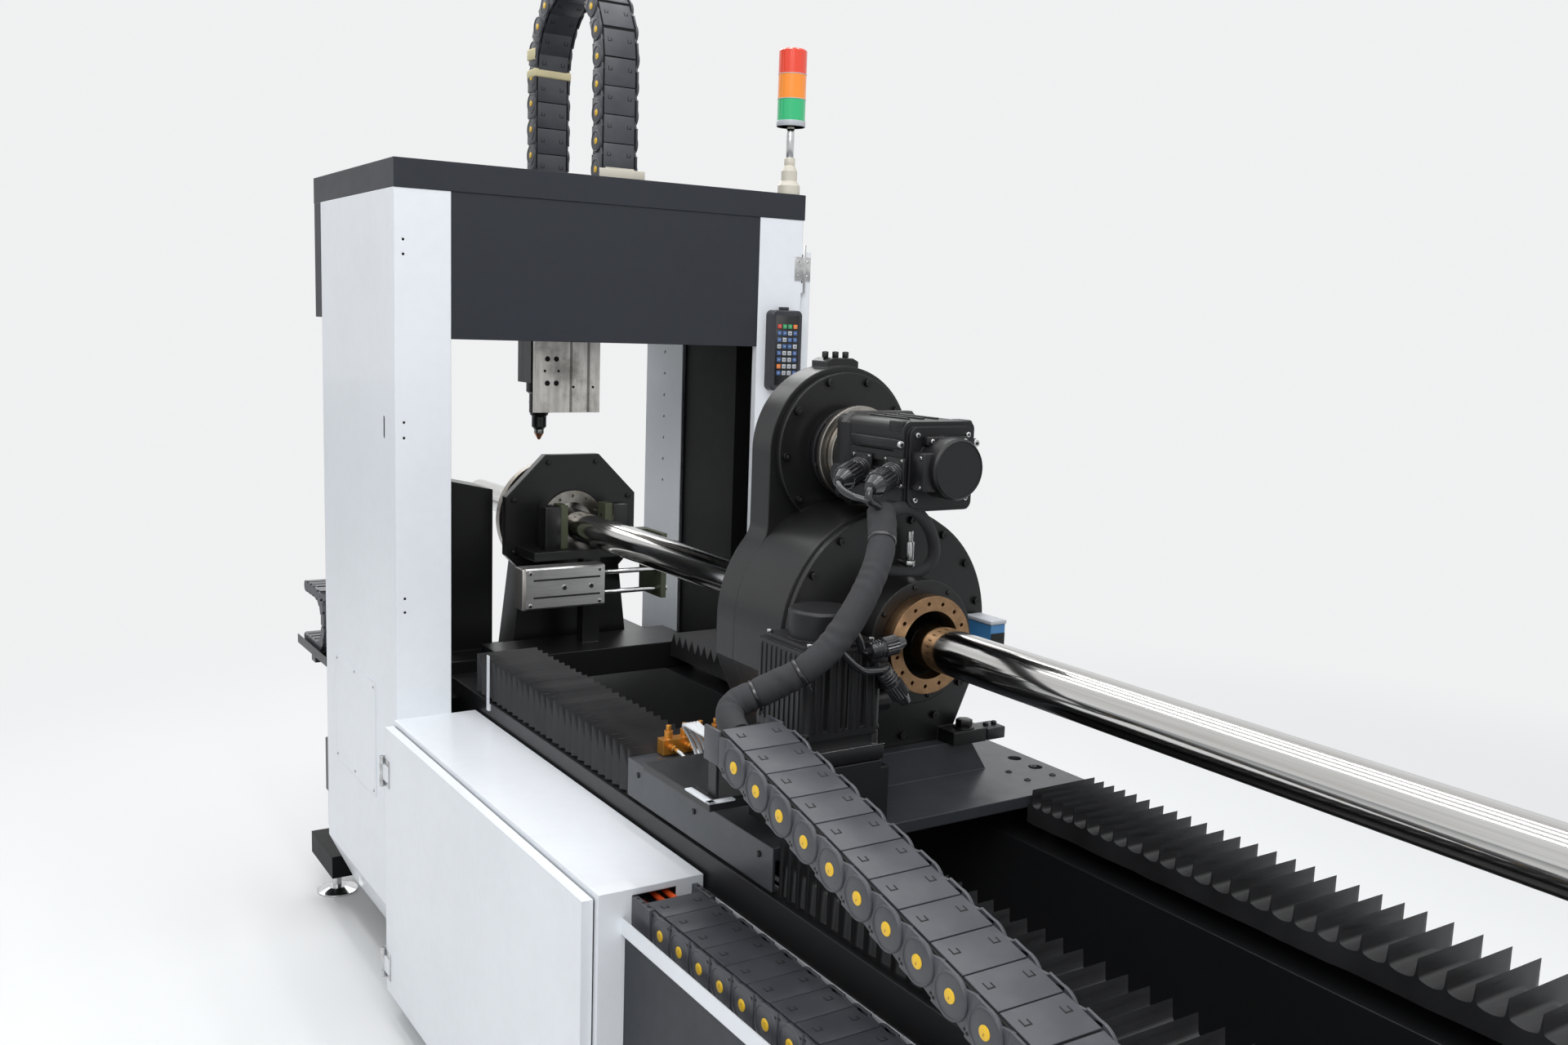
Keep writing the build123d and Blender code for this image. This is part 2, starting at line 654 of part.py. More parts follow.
# Cutting head: lift plate and nozzle
head_y = head_plate_y + head_plate_thickness
lift_plate = block(head_plate_left, head_plate_right, head_plate_y, head_plate_y + head_plate_thickness, head_plate_low, 1800)
for x in (-50, 0, 50, 80):
    for z in (1400, 1430, 1460, 1490):
        lift_plate -= rod("y", 3.5, head_plate_y - 1, head_y + 1, x, z)
for x in (-25, 25):
    for z in (1560, 1620):
        lift_plate -= rod("y", 7, head_plate_y - 1, head_y + 1, x, z)
save("head_slide", lift_plate)
cutter = revolve(Plane.XZ * make_face(Polyline(
    (0, 0), (3, 0), (12, 16), (12, 26), (19, 34), (19, 60), (26, 72), (26, 120), (34, 126), (34, 380),
    (22, 396), (22, 420), (0, 420), close=True)), Axis.Z)
cutter = Pos(0, nozzle_y, nozzle_tip) * cutter
cutter += block(-42, 42, nozzle_y - 45, nozzle_y + 45, nozzle_tip + 150, nozzle_tip + 330)
cutter += block(-30, 30, head_y, nozzle_y - 45, nozzle_tip + 180, nozzle_tip + 300)
arch_end = arch_top - arch_rear_links * arch_pitch
cutter += block(arch_left + 12, arch_right - 12, nozzle_y + 40, arch_front + 2 * arch_radius + 4, nozzle_tip + 316, nozzle_tip + 330)
cutter += block(arch_left + 12, arch_right - 12, arch_front + 2 * arch_radius, arch_front + 2 * arch_radius + 4,
                nozzle_tip + 330, arch_end + 6)
save("cutting_head", cutter)

# Lubricator behind the left column
lube_low = 330
lube_high = 470
lube_y = portal_rear + 31
lube = block(column_left_out + 8, column_left_out + 68, portal_rear, portal_rear + 62, lube_low, lube_high)
lube = fillet(lube.edges().filter_by(Axis.Z), 6)
tank = block(column_left_out + 12, column_left_out + 64, lube_y - 27, lube_y + 27, lube_low - 99, lube_low)
tank = fillet(tank.edges().filter_by(Axis.Z), 10)
lube += tank
lube += rod("z", 9, lube_high, lube_high + 27, column_left_out + 38, lube_y + 1)
save("lubricator", lube)

# Tray bar with the small chain loop behind the left column
rear_tray_low = 676
rear_tray_top = 680
rear_tray_width = 80
rear_tray_left = column_left_out
rear_tray_right = rear_tray_left + rear_tray_width
rear_tray_end = bed_half - 10
rear_tray = block(rear_tray_left, rear_tray_right, portal_rear + 5, rear_tray_end, rear_tray_low, rear_tray_top)
rear_tray += block(rear_tray_left, rear_tray_left + 2, portal_rear + 5, rear_tray_end, rear_tray_low, rear_tray_top + 20)
rear_tray += block(rear_tray_right - 2, rear_tray_right, portal_rear + 5, rear_tray_end, rear_tray_low, rear_tray_top + 20)
rear_tray += block(rear_tray_left + 20, -beam_outer, rear_tray_end - 110, rear_tray_end - 70,
                   rear_tray_low - 36, rear_tray_low)
save("rear_tray", rear_tray)
small_pitch = 34
small_height = 30
small_low = rear_tray_top + small_height / 2
small_bend = 75
small_pins = [(rear_tray_end - 20 - small_pitch * i, small_low) for i in range(5)]
loop_y = small_pins[-1][0]
loop_steps = round(math.pi * small_bend / small_pitch)
for i in range(1, loop_steps + 1):
    angle = -math.pi / 2 - math.pi * i / loop_steps
    small_pins.append((loop_y + small_bend * math.cos(angle), small_low + small_bend + small_bend * math.sin(angle)))
for i in range(1, 4):
    small_pins.append((loop_y + small_pitch * i, small_low + 2 * small_bend))
small_link = chain_link(small_pitch, small_height, rear_tray_left + 10, rear_tray_right - 10)
save("rear_chain", *lay_links(small_link, small_pins))
print("rear chain lowest y", loop_y - small_bend - small_height / 2)


# Bellows: pleated covers over the rails
def bellows_side(y_low, y_high, folds, side):
    step = (y_high - y_low) / folds
    top = [(y_low, bellows_low)]
    for i in range(folds):
        top.append((y_low + i * step, bellows_valley))
        top.append((y_low + (i + 0.5) * step, bellows_peak))
    top.append((y_high, bellows_valley))
    top.append((y_high, bellows_low))
    low, high = sorted((side * bellows_in, side * (bellows_out - fold_depth)))
    cover = prism("x", top, low, high)
    skirt = [(side * (bellows_out - fold_depth - 5), y_low)]
    for i in range(folds):
        skirt.append((side * (bellows_out - fold_depth), y_low + i * step))
        skirt.append((side * bellows_out, y_low + (i + 0.5) * step))
    skirt.append((side * (bellows_out - fold_depth), y_high))
    skirt.append((side * (bellows_out - fold_depth - 5), y_high))
    return cover + prism("z", skirt, bellows_skirt_low, bellows_valley - 4)


front_folds = 38
rear_folds = 32
save("bellows_front", bellows_side(-bed_half + 6, carriage_front - seat_gap, front_folds, -1),
     bellows_side(-bed_half + 6, carriage_front - seat_gap, front_folds, 1))
save("bellows_rear", bellows_side(carriage_rear + seat_gap, portal_front + 30, rear_folds, -1),
     bellows_side(carriage_rear + seat_gap, portal_front + 30, rear_folds, 1))

# White marker strip beside the rear bellows
marker_y = portal_front - 76
marker_out = beam_outer + 5
marker = block(-marker_out, -marker_out + 2, marker_y - 7, marker_y + 7, beam_top - 17, beam_top + 110)
marker += block(-marker_out + 2, -beam_outer, marker_y - 7, marker_y + 7, beam_top - 17, beam_top - 2)
save("marker_strip", marker)

# Carriage plate with side skirts and the raised chuck base
plate = block(-carriage_half, carriage_half, carriage_front, carriage_rear, plate_top - plate_thickness, plate_top)
for side in (-1, 1):
    low, high = sorted((side * carriage_half, side * (carriage_half + 0.001 - skirt_thickness)))
    plate += block(low, high, carriage_front, carriage_rear, skirt_low, plate_top)
chuck_base = [(-base_half, plate_top), (base_half, plate_top), (base_half - 40, base_top), (-base_half + 40, base_top)]
plate += prism("y", chuck_base, base_front, base_rear)
for x, y in [(-285, 185), (-276, 131), (304, -116), (304, -60)]:
    plate -= rod("z", 13, plate_top - plate_thickness - 1, plate_top + 1, x, y)
plate -= rod("z", 22, plate_top - plate_thickness - 1, plate_top + 1, travel_motor_x, travel_motor_y)
save("carriage_plate", plate)

# Guide blocks that ride on the rails
block_section = [(-29, 6), (-half - 1, 6), (-half - 1, rail_height + 0.6), (half + 1, rail_height + 0.6),
                 (half + 1, 6), (29, 6), (29, 60), (-29, 60)]
blocks = []
for side in (-1, 1):
    for y in (-180, 150):
        placed = [(side * rail_x + x, beam_top + z) for x, z in block_section]
        blocks.append(prism("y", placed, y, y + 80))
save("guide_blocks", *blocks)


# Chuck housing outline: drum circle with straight sides, tapering to the foot
def drum_face(radius, foot):
    shape = Pos(0, axis_z) * Circle(radius)
    outline = [(-radius, axis_z), (-radius, axis_z - side_drop), (-foot, base_top), (foot, base_top),
               (radius, axis_z - side_drop), (radius, axis_z)]
    return shape + make_face(Polyline(*outline, close=True))


def along_y(face, low, high):
    return extrude(Plane.XZ.offset(-high) * face, amount=high - low)


back_face = drum_face(drum_radius, foot_half) + Pos(0, head_z) * Circle(head_radius)
back_face += make_face(Polyline((-head_radius, head_z), (-head_radius, axis_z + 100), (head_radius, axis_z + 100),
                                (head_radius, head_z), close=True))
back_layer = along_y(back_face, drum_back, layer_back)
neck_z = axis_z + math.sqrt(drum_radius ** 2 - head_radius ** 2)
neck = [e for e in back_layer.edges().filter_by(Axis.Y)
        if abs(abs(e.center().X) - head_radius) < 2 and abs(e.center().Z - neck_z) < 3]
back_layer = fillet(neck, neck_fillet)
back_layer -= rod("y", spindle_radius + running, drum_back - 1, layer_back + 1, 0, axis_z)
lug = prism("y", [(-34, head_z + head_radius - 12), (34, head_z + head_radius - 12), (34, head_z + head_radius + 8),
                  (22, head_z + head_radius + 14), (-22, head_z + head_radius + 14), (-34, head_z + head_radius + 8)],
            drum_back + 6, layer_back - 6)
back_layer += lug
below_base = block(-400, 400, drum_front - 100, layer_back + 100, base_top - 50, base_top)
back_layer -= below_base
save("chuck_back", back_layer)

drum = along_y(drum_face(drum_radius, foot_half), drum_front, drum_back)
cover = along_y(drum_face(cover_radius, foot_half - 6), drum_front - cover_thickness, drum_front)
drum += cover
drum -= below_base
drum -= rod("y", spindle_radius + running, drum_front - cover_thickness - 1, drum_back + 1, 0, axis_z)
head_cover = rod("y", head_cover_radius, drum_back - cover_thickness, drum_back, 0, head_z)
head_cover -= rod("y", drum_radius + 0.6, drum_back - cover_thickness - 1, drum_back + 1, 0, axis_z)
foot_lug = block(foot_half - 30, foot_half + 45, drum_front - 60, drum_front - cover_thickness, base_top, base_top + 24)
save("chuck_drum", drum, head_cover, foot_lug)

bolt_radius = 7
bolt_height = 7
bolts = []
cover_front = drum_front - cover_thickness
for i in range(16):
    angle = math.radians(-90 + 22.5 * i + 11.25)
    bolts.append(rod("y", bolt_radius, cover_front - bolt_height, cover_front,
                     195 * math.cos(angle), axis_z + 195 * math.sin(angle)))
for i in range(8):
    angle = math.radians(-40 + 260 * i / 7)
    bolts.append(rod("y", bolt_radius, drum_back - cover_thickness - bolt_height, drum_back - cover_thickness,
                     128 * math.cos(angle), head_z + 128 * math.sin(angle)))
save("chuck_bolts", *bolts)

nose = ring("y", nose_radius, spindle_radius + running, nose_front, cover_front, 0, axis_z)
save("spindle_nose", nose)

# Rotating spindle with the jaw carrier, bronze ring and workpiece
spindle = ring("y", spindle_radius, bore_radius, nose_front + 2, jaw_plate_front, 0, axis_z)
spindle += ring("y", jaw_plate_radius, bore_radius, jaw_plate_front, jaw_plate_rear, 0, axis_z)
save("rear_spindle", spindle)
ring_front = nose_front - 0.5 - ring_thickness
bronze = ring("y", ring_radius, bore_radius, ring_front, nose_front - 0.5, 0, axis_z)
bronze += ring("y", spindle_radius, bore_radius, nose_front - 0.5, nose_front + 2, 0, axis_z)
for i in range(15):
    angle = 2 * math.pi * i / 15
    bronze -= rod("y", 3.5, ring_front - 1, ring_front + 10, 70 * math.cos(angle), axis_z + 70 * math.sin(angle))
save("bronze_ring", bronze)
workpiece = ring("y", tube_radius, tube_radius - tube_wall, tube_front, tube_rear, 0, axis_z)
save("workpiece_tube", workpiece)


# Jaws: sliding blocks with a roller that meets the tube
def jaw(face_y, direction):
    inner = tube_radius + grip_gap
    roller_centre = inner + roller_radius
    low, high = sorted((face_y, face_y + direction * jaw_depth))
    body = block(-jaw_width / 2, jaw_width / 2, low, high, roller_centre - 6, roller_centre + jaw_reach - 16)
    body -= block(-roller_length / 2 - 1, roller_length / 2 + 1, low - 1, high + 1,
                  roller_centre - 20, roller_centre + roller_radius + 3)
    body = chamfer(body.edges().filter_by(Axis.Y).sort_by(Axis.Z)[-2:], 6)
    middle = face_y + direction * jaw_depth / 2
    body += rod("x", roller_radius, -roller_length / 2, roller_length / 2, middle, roller_centre)
    body += rod("x", 5, -jaw_width / 2, jaw_width / 2, middle, roller_centre)
    return body


rear_jaw = jaw(jaw_plate_rear + 0.3, 1)
for i in range(4):
    save(f"rear_jaw_{i + 1}", Pos(0, 0, axis_z) * Rot(0, 90 * i, 0) * rear_jaw)

# Rotating part of the fixed chuck
front_spindle = ring("y", front_ring_radius, front_bore, octagon_front - 6, front_body_rear + 6, 0, axis_z)
front_spindle += ring("y", jaw_plate_radius, front_bore, front_body_rear + 6, front_body_rear + 30, 0, axis_z)
for i in range(12):
    angle = 2 * math.pi * i / 12
    front_spindle -= rod("y", 4, octagon_front - 7, octagon_front + 4, 70 * math.cos(angle), axis_z + 70 * math.sin(angle))
save("front_spindle", front_spindle)
front_jaw = jaw(front_body_rear + 30.3, 1)
for i in range(4):
    save(f"front_jaw_{i + 1}", Pos(0, 0, axis_z) * Rot(0, 90 * i, 0) * front_jaw)

# Spindle motor: flange ring, finned body, end cap and connectors
motor_half = spin_motor_size / 2
spin_body = block(-motor_half, motor_half, spin_motor_front, spin_motor_rear, head_z - motor_half, head_z + motor_half)
spin_body = fillet(spin_body.edges().filter_by(Axis.Y), motor_corner)
for z in (-30, 0, 30):
    for side in (-1, 1):
        low, high = sorted((side * (motor_half - fin_depth), side * (motor_half + 1)))
        spin_body -= block(low, high, spin_motor_front + 25, spin_motor_rear - 30, head_z + z - 6, head_z + z + 6)
spin_body += rod("y", motor_half - 5, spin_motor_rear, drum_back - cover_thickness, 0, head_z)
cap_half = motor_half - 8
end_plate_block = block(-cap_half, cap_half, spin_motor_front - cap_plate, spin_motor_front, head_z - cap_half, head_z + cap_half)
spin_body += fillet(end_plate_block.edges().filter_by(Axis.Y), motor_corner)
end_cap = rod("y", spin_cap_radius, spin_cap_front, spin_motor_front - cap_plate, 0, head_z)
spin_body += chamfer(end_cap.edges().sort_by(Axis.Y)[0], 4)
for y in (-22, -125):
    spin_body += rod("x", 17, -motor_half - 29, -motor_half + 1, y, head_z - 24)
save("spin_motor", spin_body)

# Travel motor on its gearbox, with the pinion below the plate
half_size = travel_motor_size / 2
motor = block(travel_motor_x - half_size, travel_motor_x + half_size, travel_motor_y - half_size,
              travel_motor_y + half_size, travel_motor_low, travel_motor_high)
motor = fillet(motor.edges().filter_by(Axis.Z), motor_corner)
for offset in (-35, 0, 35):
    motor -= block(travel_motor_x + offset - 7, travel_motor_x + offset + 7, travel_motor_y - half_size - 1,
                   travel_motor_y - half_size + fin_depth, travel_motor_low + 15, travel_motor_high - 15)
motor += block(travel_motor_x - half_size + 6, travel_motor_x + half_size - 6, travel_motor_y - half_size + 6,
               travel_motor_y + half_size - 6, gearbox_low, travel_motor_low)
top_plate = block(travel_motor_x - half_size + 8, travel_motor_x + half_size - 8, travel_motor_y - half_size + 8,
                  travel_motor_y + half_size - 8, travel_motor_high, travel_motor_high + cap_plate)
motor += fillet(top_plate.edges().filter_by(Axis.Z), motor_corner)
top_cap_rod = rod("z", travel_cap_radius, travel_motor_high + cap_plate, travel_cap_top, travel_motor_x, travel_motor_y)
motor += chamfer(top_cap_rod.edges().sort_by(Axis.Z)[-1], 4)
for z in (travel_motor_low + 40, travel_motor_low + 90):
    motor += rod("x", 15, travel_motor_x + half_size - 1, travel_motor_x + half_size + 30, travel_motor_y - 43, z)
save("travel_motor", motor)

bracket_low = gearbox_low - 12
bracket_front = travel_motor_y - half_size - 4
bracket_rear = travel_motor_y + half_size + 5
arm_front = chain_end_y + 7
motor_bracket = block(chain_left - 4, travel_motor_x + half_size, bracket_front, bracket_rear, bracket_low, gearbox_low)
motor_bracket += block(chain_left - 4, chain_right + 4, chain_end_y - 3, bracket_front, bracket_low, gearbox_low)
motor_bracket += block(travel_motor_x - 90, travel_motor_x + 90, bracket_front, bracket_rear - 25, plate_top, bracket_low)
motor_bracket -= rod("z", 30, plate_top - 1, gearbox_low + 1, travel_motor_x, travel_motor_y)
motor_bracket += block(chain_left + 11, chain_right - 11, chain_end_y + 3, bracket_front + 15, gearbox_low, gearbox_low + 3)
for low in (chain_left + 11, chain_right - 16):
    motor_bracket += block(low, low + 5, arm_front, arm_front + 22, gearbox_low, chain_end_z - 8)
save("motor_bracket", motor_bracket)


# Pinion with flanks drawn as involutes
def gear_outline(teeth_count, module, thin):
    radius = module * teeth_count / 2
    base = radius * math.cos(math.radians(20))
    root = radius - 1.25 * module
    tip = radius + module * 0.95
    half_angle = math.pi / (2 * teeth_count) - thin / (2 * radius)
    inv_pitch = math.tan(math.radians(20)) - math.radians(20)
    points = []
    for i in range(teeth_count):
        centre = 2 * math.pi * i / teeth_count
        flank = []
        for r in (max(base, root) + 0.01, (base + radius) / 2, radius, (radius + tip) / 2, tip):
            alpha = math.acos(min(1, base / r))
            flank.append((r, half_angle + inv_pitch - (math.tan(alpha) - alpha)))
        points.append((root * math.cos(centre - flank[0][1]), root * math.sin(centre - flank[0][1])))
        for r, a in flank:
            points.append((r * math.cos(centre - a), r * math.sin(centre - a)))
        for r, a in reversed(flank):
            points.append((r * math.cos(centre + a), r * math.sin(centre + a)))
        points.append((root * math.cos(centre + flank[0][1]), root * math.sin(centre + flank[0][1])))
    return points


gear_points = gear_outline(pinion_teeth, tooth_module, mesh_backlash)
turn = math.pi
gear_points = [(travel_motor_x + x * math.cos(turn) - y * math.sin(turn),
                travel_motor_y + x * math.sin(turn) + y * math.cos(turn)) for x, y in gear_points]
pinion = prism("z", gear_points, beam_top + 2, beam_top + 2 + pinion_thickness)
pinion += rod("z", 20, beam_top + 2 + pinion_thickness, gearbox_low - 0.5, travel_motor_x, travel_motor_y)
save("travel_pinion", pinion)

# Valve manifold with fittings
manifold = block(-278, -111, 238, 262, plate_top + 2, plate_top + 30)
for i in range(5):
    manifold += rod("z", 8, plate_top + 30, plate_top + 44, -262 + 33 * i, 250)
    manifold += rod("y", 6, 222, 238, -262 + 33 * i, plate_top + 16)
manifold += block(-270, -262, 242, 258, plate_top, plate_top + 2)
manifold += block(-127, -119, 242, 258, plate_top, plate_top + 2)
save("valve_manifold", manifold)

# Tube sensor on the right of the chuck
sensor = block(165, 197, -130, cover_front - bolt_height - 1, 1030, 1090)
sensor += block(150, 165, -110, cover_front, 1045, 1062)
save("tube_sensor", sensor)

# Cable sleeve from the spindle motor round the travel motor to the chain
sleeve_radius = 23
sleeve_route = [(-112, -166, 1308), (-132, -205, 1270), (-176, -238, 1215), (-232, -252, 1145),
                (-288, -248, 1092), (-345, -205, 1052), (-409, -185, 1024), (-409, -240, 1000)]
path = FilletPolyline(*sleeve_route, radius=[60, 80, 200, 80, 60, 26])
sleeve = sweep(Plane(origin=path @ 0, z_dir=path % 0) * Circle(sleeve_radius), path=path)
print("sleeve volume", round(sleeve.volume), "expected", round(math.pi * sleeve_radius ** 2 * path.length))
leads = [[(-102.3, -125, 1353), (-126, -125, 1353), (-114, -160, 1318), (-116, -172, 1300)],
         [(-102.3, -22, 1353), (-128, -22, 1353), (-122, -110, 1338), (-112, -158, 1318), (-115, -172, 1300)]]
for lead in leads:
    lead_path = FilletPolyline(*lead, radius=12)
    sleeve += sweep(Plane(origin=lead_path @ 0, z_dir=lead_path % 0) * Circle(7), path=lead_path)
save("cable_harness", sleeve)
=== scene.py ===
import math
import random
from itertools import product

import bpy
from mathutils import Matrix, Vector


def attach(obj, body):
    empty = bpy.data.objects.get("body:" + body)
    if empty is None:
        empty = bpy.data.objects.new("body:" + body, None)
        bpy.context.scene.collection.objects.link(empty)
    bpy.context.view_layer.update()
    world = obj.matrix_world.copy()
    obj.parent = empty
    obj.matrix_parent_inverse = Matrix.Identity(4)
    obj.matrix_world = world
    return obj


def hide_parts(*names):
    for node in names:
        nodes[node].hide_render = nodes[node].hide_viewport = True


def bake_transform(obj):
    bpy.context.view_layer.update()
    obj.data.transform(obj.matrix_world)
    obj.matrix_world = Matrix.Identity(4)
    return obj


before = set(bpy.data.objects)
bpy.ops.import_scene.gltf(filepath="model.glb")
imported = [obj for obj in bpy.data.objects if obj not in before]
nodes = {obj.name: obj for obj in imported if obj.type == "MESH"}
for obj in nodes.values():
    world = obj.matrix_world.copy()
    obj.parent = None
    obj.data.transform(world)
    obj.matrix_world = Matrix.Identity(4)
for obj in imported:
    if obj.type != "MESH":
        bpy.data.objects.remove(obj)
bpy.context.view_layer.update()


# a shader socket that can be added, subtracted and multiplied
class Val:
    def __init__(self, kit, socket):
        self.kit = kit
        self.socket = socket

    def math(self, operation, first, second):
        return self.kit.node("Math", {"operation": operation}, {0: first, 1: second})

    def __add__(self, other):
        return self.math("ADD", self, other)

    def __sub__(self, other):
        return self.math("SUBTRACT", self, other)

    def __rsub__(self, other):
        return self.math("SUBTRACT", other, self)

    def __mul__(self, other):
        return self.math("MULTIPLY", self, other)

    __radd__ = __add__
    __rmul__ = __mul__

    def above(self, low, high):
        return self.kit.node("MapRange", {"interpolation_type": "SMOOTHSTEP"},
                             {0: self, 1: low, 2: high, 3: 0.0, 4: 1.0})


# one material and the nodes in it
class Kit:
    def __init__(self, name):
        self.material = bpy.data.materials.new(name)
        self.material.use_nodes = True
        self.tree = self.material.node_tree
        self.shader = self.tree.nodes["Principled BSDF"]
        self.coords = self.node("TexCoord", {}, {}, "Object")

    def node(self, kind, settings, sockets, out=0):
        made = self.tree.nodes.new("ShaderNode" + kind)
        for key, value in settings.items():
            setattr(made, key, value)
        for key, value in sockets.items():
            self.put(value, made.inputs[key])
        return Val(self, made.outputs[out])

    def put(self, value, slot):
        if isinstance(value, Val):
            self.tree.links.new(value.socket, slot)
        elif isinstance(value, tuple) and len(value) == 3 and slot.type == "RGBA":
            slot.default_value = value + (1.0,)
        else:
            slot.default_value = value

    def noise(self, scale, detail=3.0, rough=0.5, stretch=None):
        vector = self.coords
        if stretch:
            vector = self.node("VectorMath", {"operation": "MULTIPLY"}, {0: self.coords, 1: stretch})
        return self.node("TexNoise", {}, {"Vector": vector, "Scale": scale, "Detail": detail, "Roughness": rough})

    def mix(self, factor, first, second):
        return self.node("Mix", {"data_type": "RGBA"}, {0: factor, 6: first, 7: second}, 2)

    def rounded(self, radius):
        return self.node("Bevel", {"samples": 4}, {"Radius": radius})

    def bump(self, height, strength, distance, normal=None):
        sockets = {"Height": height, "Strength": strength, "Distance": distance}
        if normal is not None:
            sockets["Normal"] = normal
        return self.node("Bump", {}, sockets)

    def finish(self, **sockets):
        for key, value in sockets.items():
            self.put(value, self.shader.inputs[key.replace("_", " ")])
        return self.material


# painted metal: colour drifts a little, edges are rounded and rubbed, and the coat has its own grain
def paint(name, colour, rough, grain, depth, worn=None, edge=0.003, dirt=0.3, coat=0.0, metal=0.0, mirror=0.5):
    kit = Kit(name)
    rounded = kit.rounded(edge)
    broad = kit.noise(2.3, 4.0, 0.6)
    fine = kit.noise(38.0, 5.0, 0.65)
    dull = tuple(c * (1.0 - dirt) for c in colour)
    base = kit.mix((broad * 0.7 + fine * 0.3).above(0.35, 0.7), colour, dull)
    if worn:
        flat = kit.node("NewGeometry", {}, {}, "Normal")
        facing = kit.node("VectorMath", {"operation": "DOT_PRODUCT"}, {0: rounded, 1: flat}, "Value")
        rub = ((1.0 - facing) * 3.5 * (0.4 + fine)).above(0.35, 0.9)
        base = kit.mix(rub * 0.55, base, worn)
    normal = kit.bump(kit.noise(grain, 2.0, 0.5), 0.35, depth, rounded)
    sheen = rough + (broad - 0.5) * 0.16 + (fine - 0.5) * 0.1
    return kit.finish(Base_Color=base, Roughness=sheen, Normal=normal, Coat_Weight=coat, Metallic=metal,
                      Specular_IOR_Level=mirror)


# bare metal with a direction to its marks
def steel(name, colour, rough, stretch, depth=0.00006, stain=None):
    kit = Kit(name)
    marks = kit.noise(60.0, 4.0, 0.6, stretch)
    cloud = kit.noise(7.0, 5.0, 0.65)
    dull = tuple(c * 0.72 for c in colour)
    base = kit.mix(marks.above(0.3, 0.75), colour, dull)
    if stain:
        base = kit.mix(cloud.above(0.52, 0.72) * 0.7, base, stain)
    normal = kit.bump(marks, 0.4, depth, kit.rounded(0.0015))
    sheen = rough + (marks - 0.5) * 0.18 + (cloud - 0.5) * 0.12
    return kit.finish(Base_Color=base, Metallic=1.0, Roughness=sheen, Normal=normal)


# moulded plastic or rubber
def plastic(name, colour, rough, grain=600.0, depth=0.00008, edge=0.0012, dust=0.25, coat=0.0, glow=0.0):
    kit = Kit(name)
    broad = kit.noise(11.0, 4.0, 0.6)
    fine = kit.noise(grain, 2.0, 0.5)
    pale = tuple(c + (0.5 - c) * 0.1 * dust for c in colour)
    base = kit.mix(broad.above(0.4, 0.75), colour, pale)
    normal = kit.bump(fine, 0.3, depth, kit.rounded(edge))
    if glow:
        kit.finish(Emission_Color=base, Emission_Strength=glow)
    return kit.finish(Base_Color=base, Roughness=rough + (broad - 0.5) * 0.2, Normal=normal, Coat_Weight=coat)


def lens(name, colour):
    return plastic(name, colour, 0.18, grain=90.0, depth=0.0002, edge=0.001, dust=0.1, coat=0.4, glow=0.12)


# woven cloth: two crossed waves make the threads
def cloth(name, colour, rough, pitch, depth, lint=2.2):
    kit = Kit(name)
    waves = []
    for direction, scale in (("X", pitch), ("DIAGONAL", pitch * 0.8)):
        settings = {"wave_type": "BANDS", "bands_direction": direction}
        waves.append(kit.node("TexWave", settings, {"Vector": kit.coords, "Scale": scale}))
    weave = waves[0] * 0.5 + waves[1] * 0.5
    cloud = kit.noise(9.0, 4.0, 0.6)
    pale = tuple(c * lint + 0.004 for c in colour)
    base = kit.mix((cloud * 0.6 + weave * 0.4).above(0.4, 0.8), colour, pale)
    return kit.finish(Base_Color=base, Roughness=rough + (cloud - 0.5) * 0.15, Normal=kit.bump(weave, 0.5, depth))


# drawn steel tube: fine streaks along it and darker patches
def streaked(name):
    kit = Kit(name)
    streaks = kit.noise(90.0, 4.0, 0.6, (1.0, 0.01, 1.0))
    patches = kit.noise(5.0, 4.0, 0.6, (1.0, 0.35, 1.0))
    base = kit.mix(streaks.above(0.35, 0.7), (0.66, 0.655, 0.64), (0.5, 0.49, 0.47))
    base = kit.mix(patches.above(0.55, 0.75) * 0.5, base, (0.34, 0.33, 0.3))
    return kit.finish(Base_Color=base, Metallic=1.0, Roughness=0.07 + streaks * 0.07 + (patches - 0.5) * 0.08,
                      Normal=kit.bump(streaks, 0.3, 0.00005))


print("materials")
white = paint("white_paint", (0.80, 0.825, 0.86), 0.36, 420.0, 0.00005, dirt=0.06, coat=0.15)
charcoal = paint("charcoal_paint", (0.0165, 0.0195, 0.027), 0.5, 700.0, 0.0004, (0.05, 0.055, 0.065), dirt=0.25,
                 mirror=0.4)
frameBlack = paint("black_frame", (0.0145, 0.015, 0.0165), 0.38, 300.0, 0.0001, (0.06, 0.06, 0.062), mirror=0.4)
portalBlack = paint("portal_black", (0.0035, 0.0035, 0.004), 0.5, 300.0, 0.0001, (0.03, 0.03, 0.031), mirror=0.12)
carriageBlack = paint("carriage_black", (0.04, 0.044, 0.051), 0.36, 300.0, 0.0001, (0.08, 0.08, 0.085), coat=0.1)
housing = paint("black_housing", (0.009, 0.009, 0.0093), 0.33, 160.0, 0.0004, (0.05, 0.05, 0.05), edge=0.004,
                mirror=0.42)
motorBlack = paint("motor_black", (0.01, 0.01, 0.0112), 0.4, 500.0, 0.0001, (0.05, 0.05, 0.052), mirror=0.36)
cream = paint("cream_paint", (0.62, 0.58, 0.49), 0.45, 300.0, 0.00008, edge=0.002, dirt=0.15)
olive = paint("olive_plate", (0.055, 0.065, 0.035), 0.55, 260.0, 0.00015, (0.2, 0.2, 0.16), dirt=0.35)
gold = paint("gold_anodised", (0.62, 0.27, 0.04), 0.35, 500.0, 0.00006, (0.8, 0.6, 0.3), edge=0.0015, dirt=0.15,
             coat=0.1, metal=0.75)
railSteel = steel("rail_steel", (0.55, 0.55, 0.57), 0.25, (1.0, 0.04, 1.0))
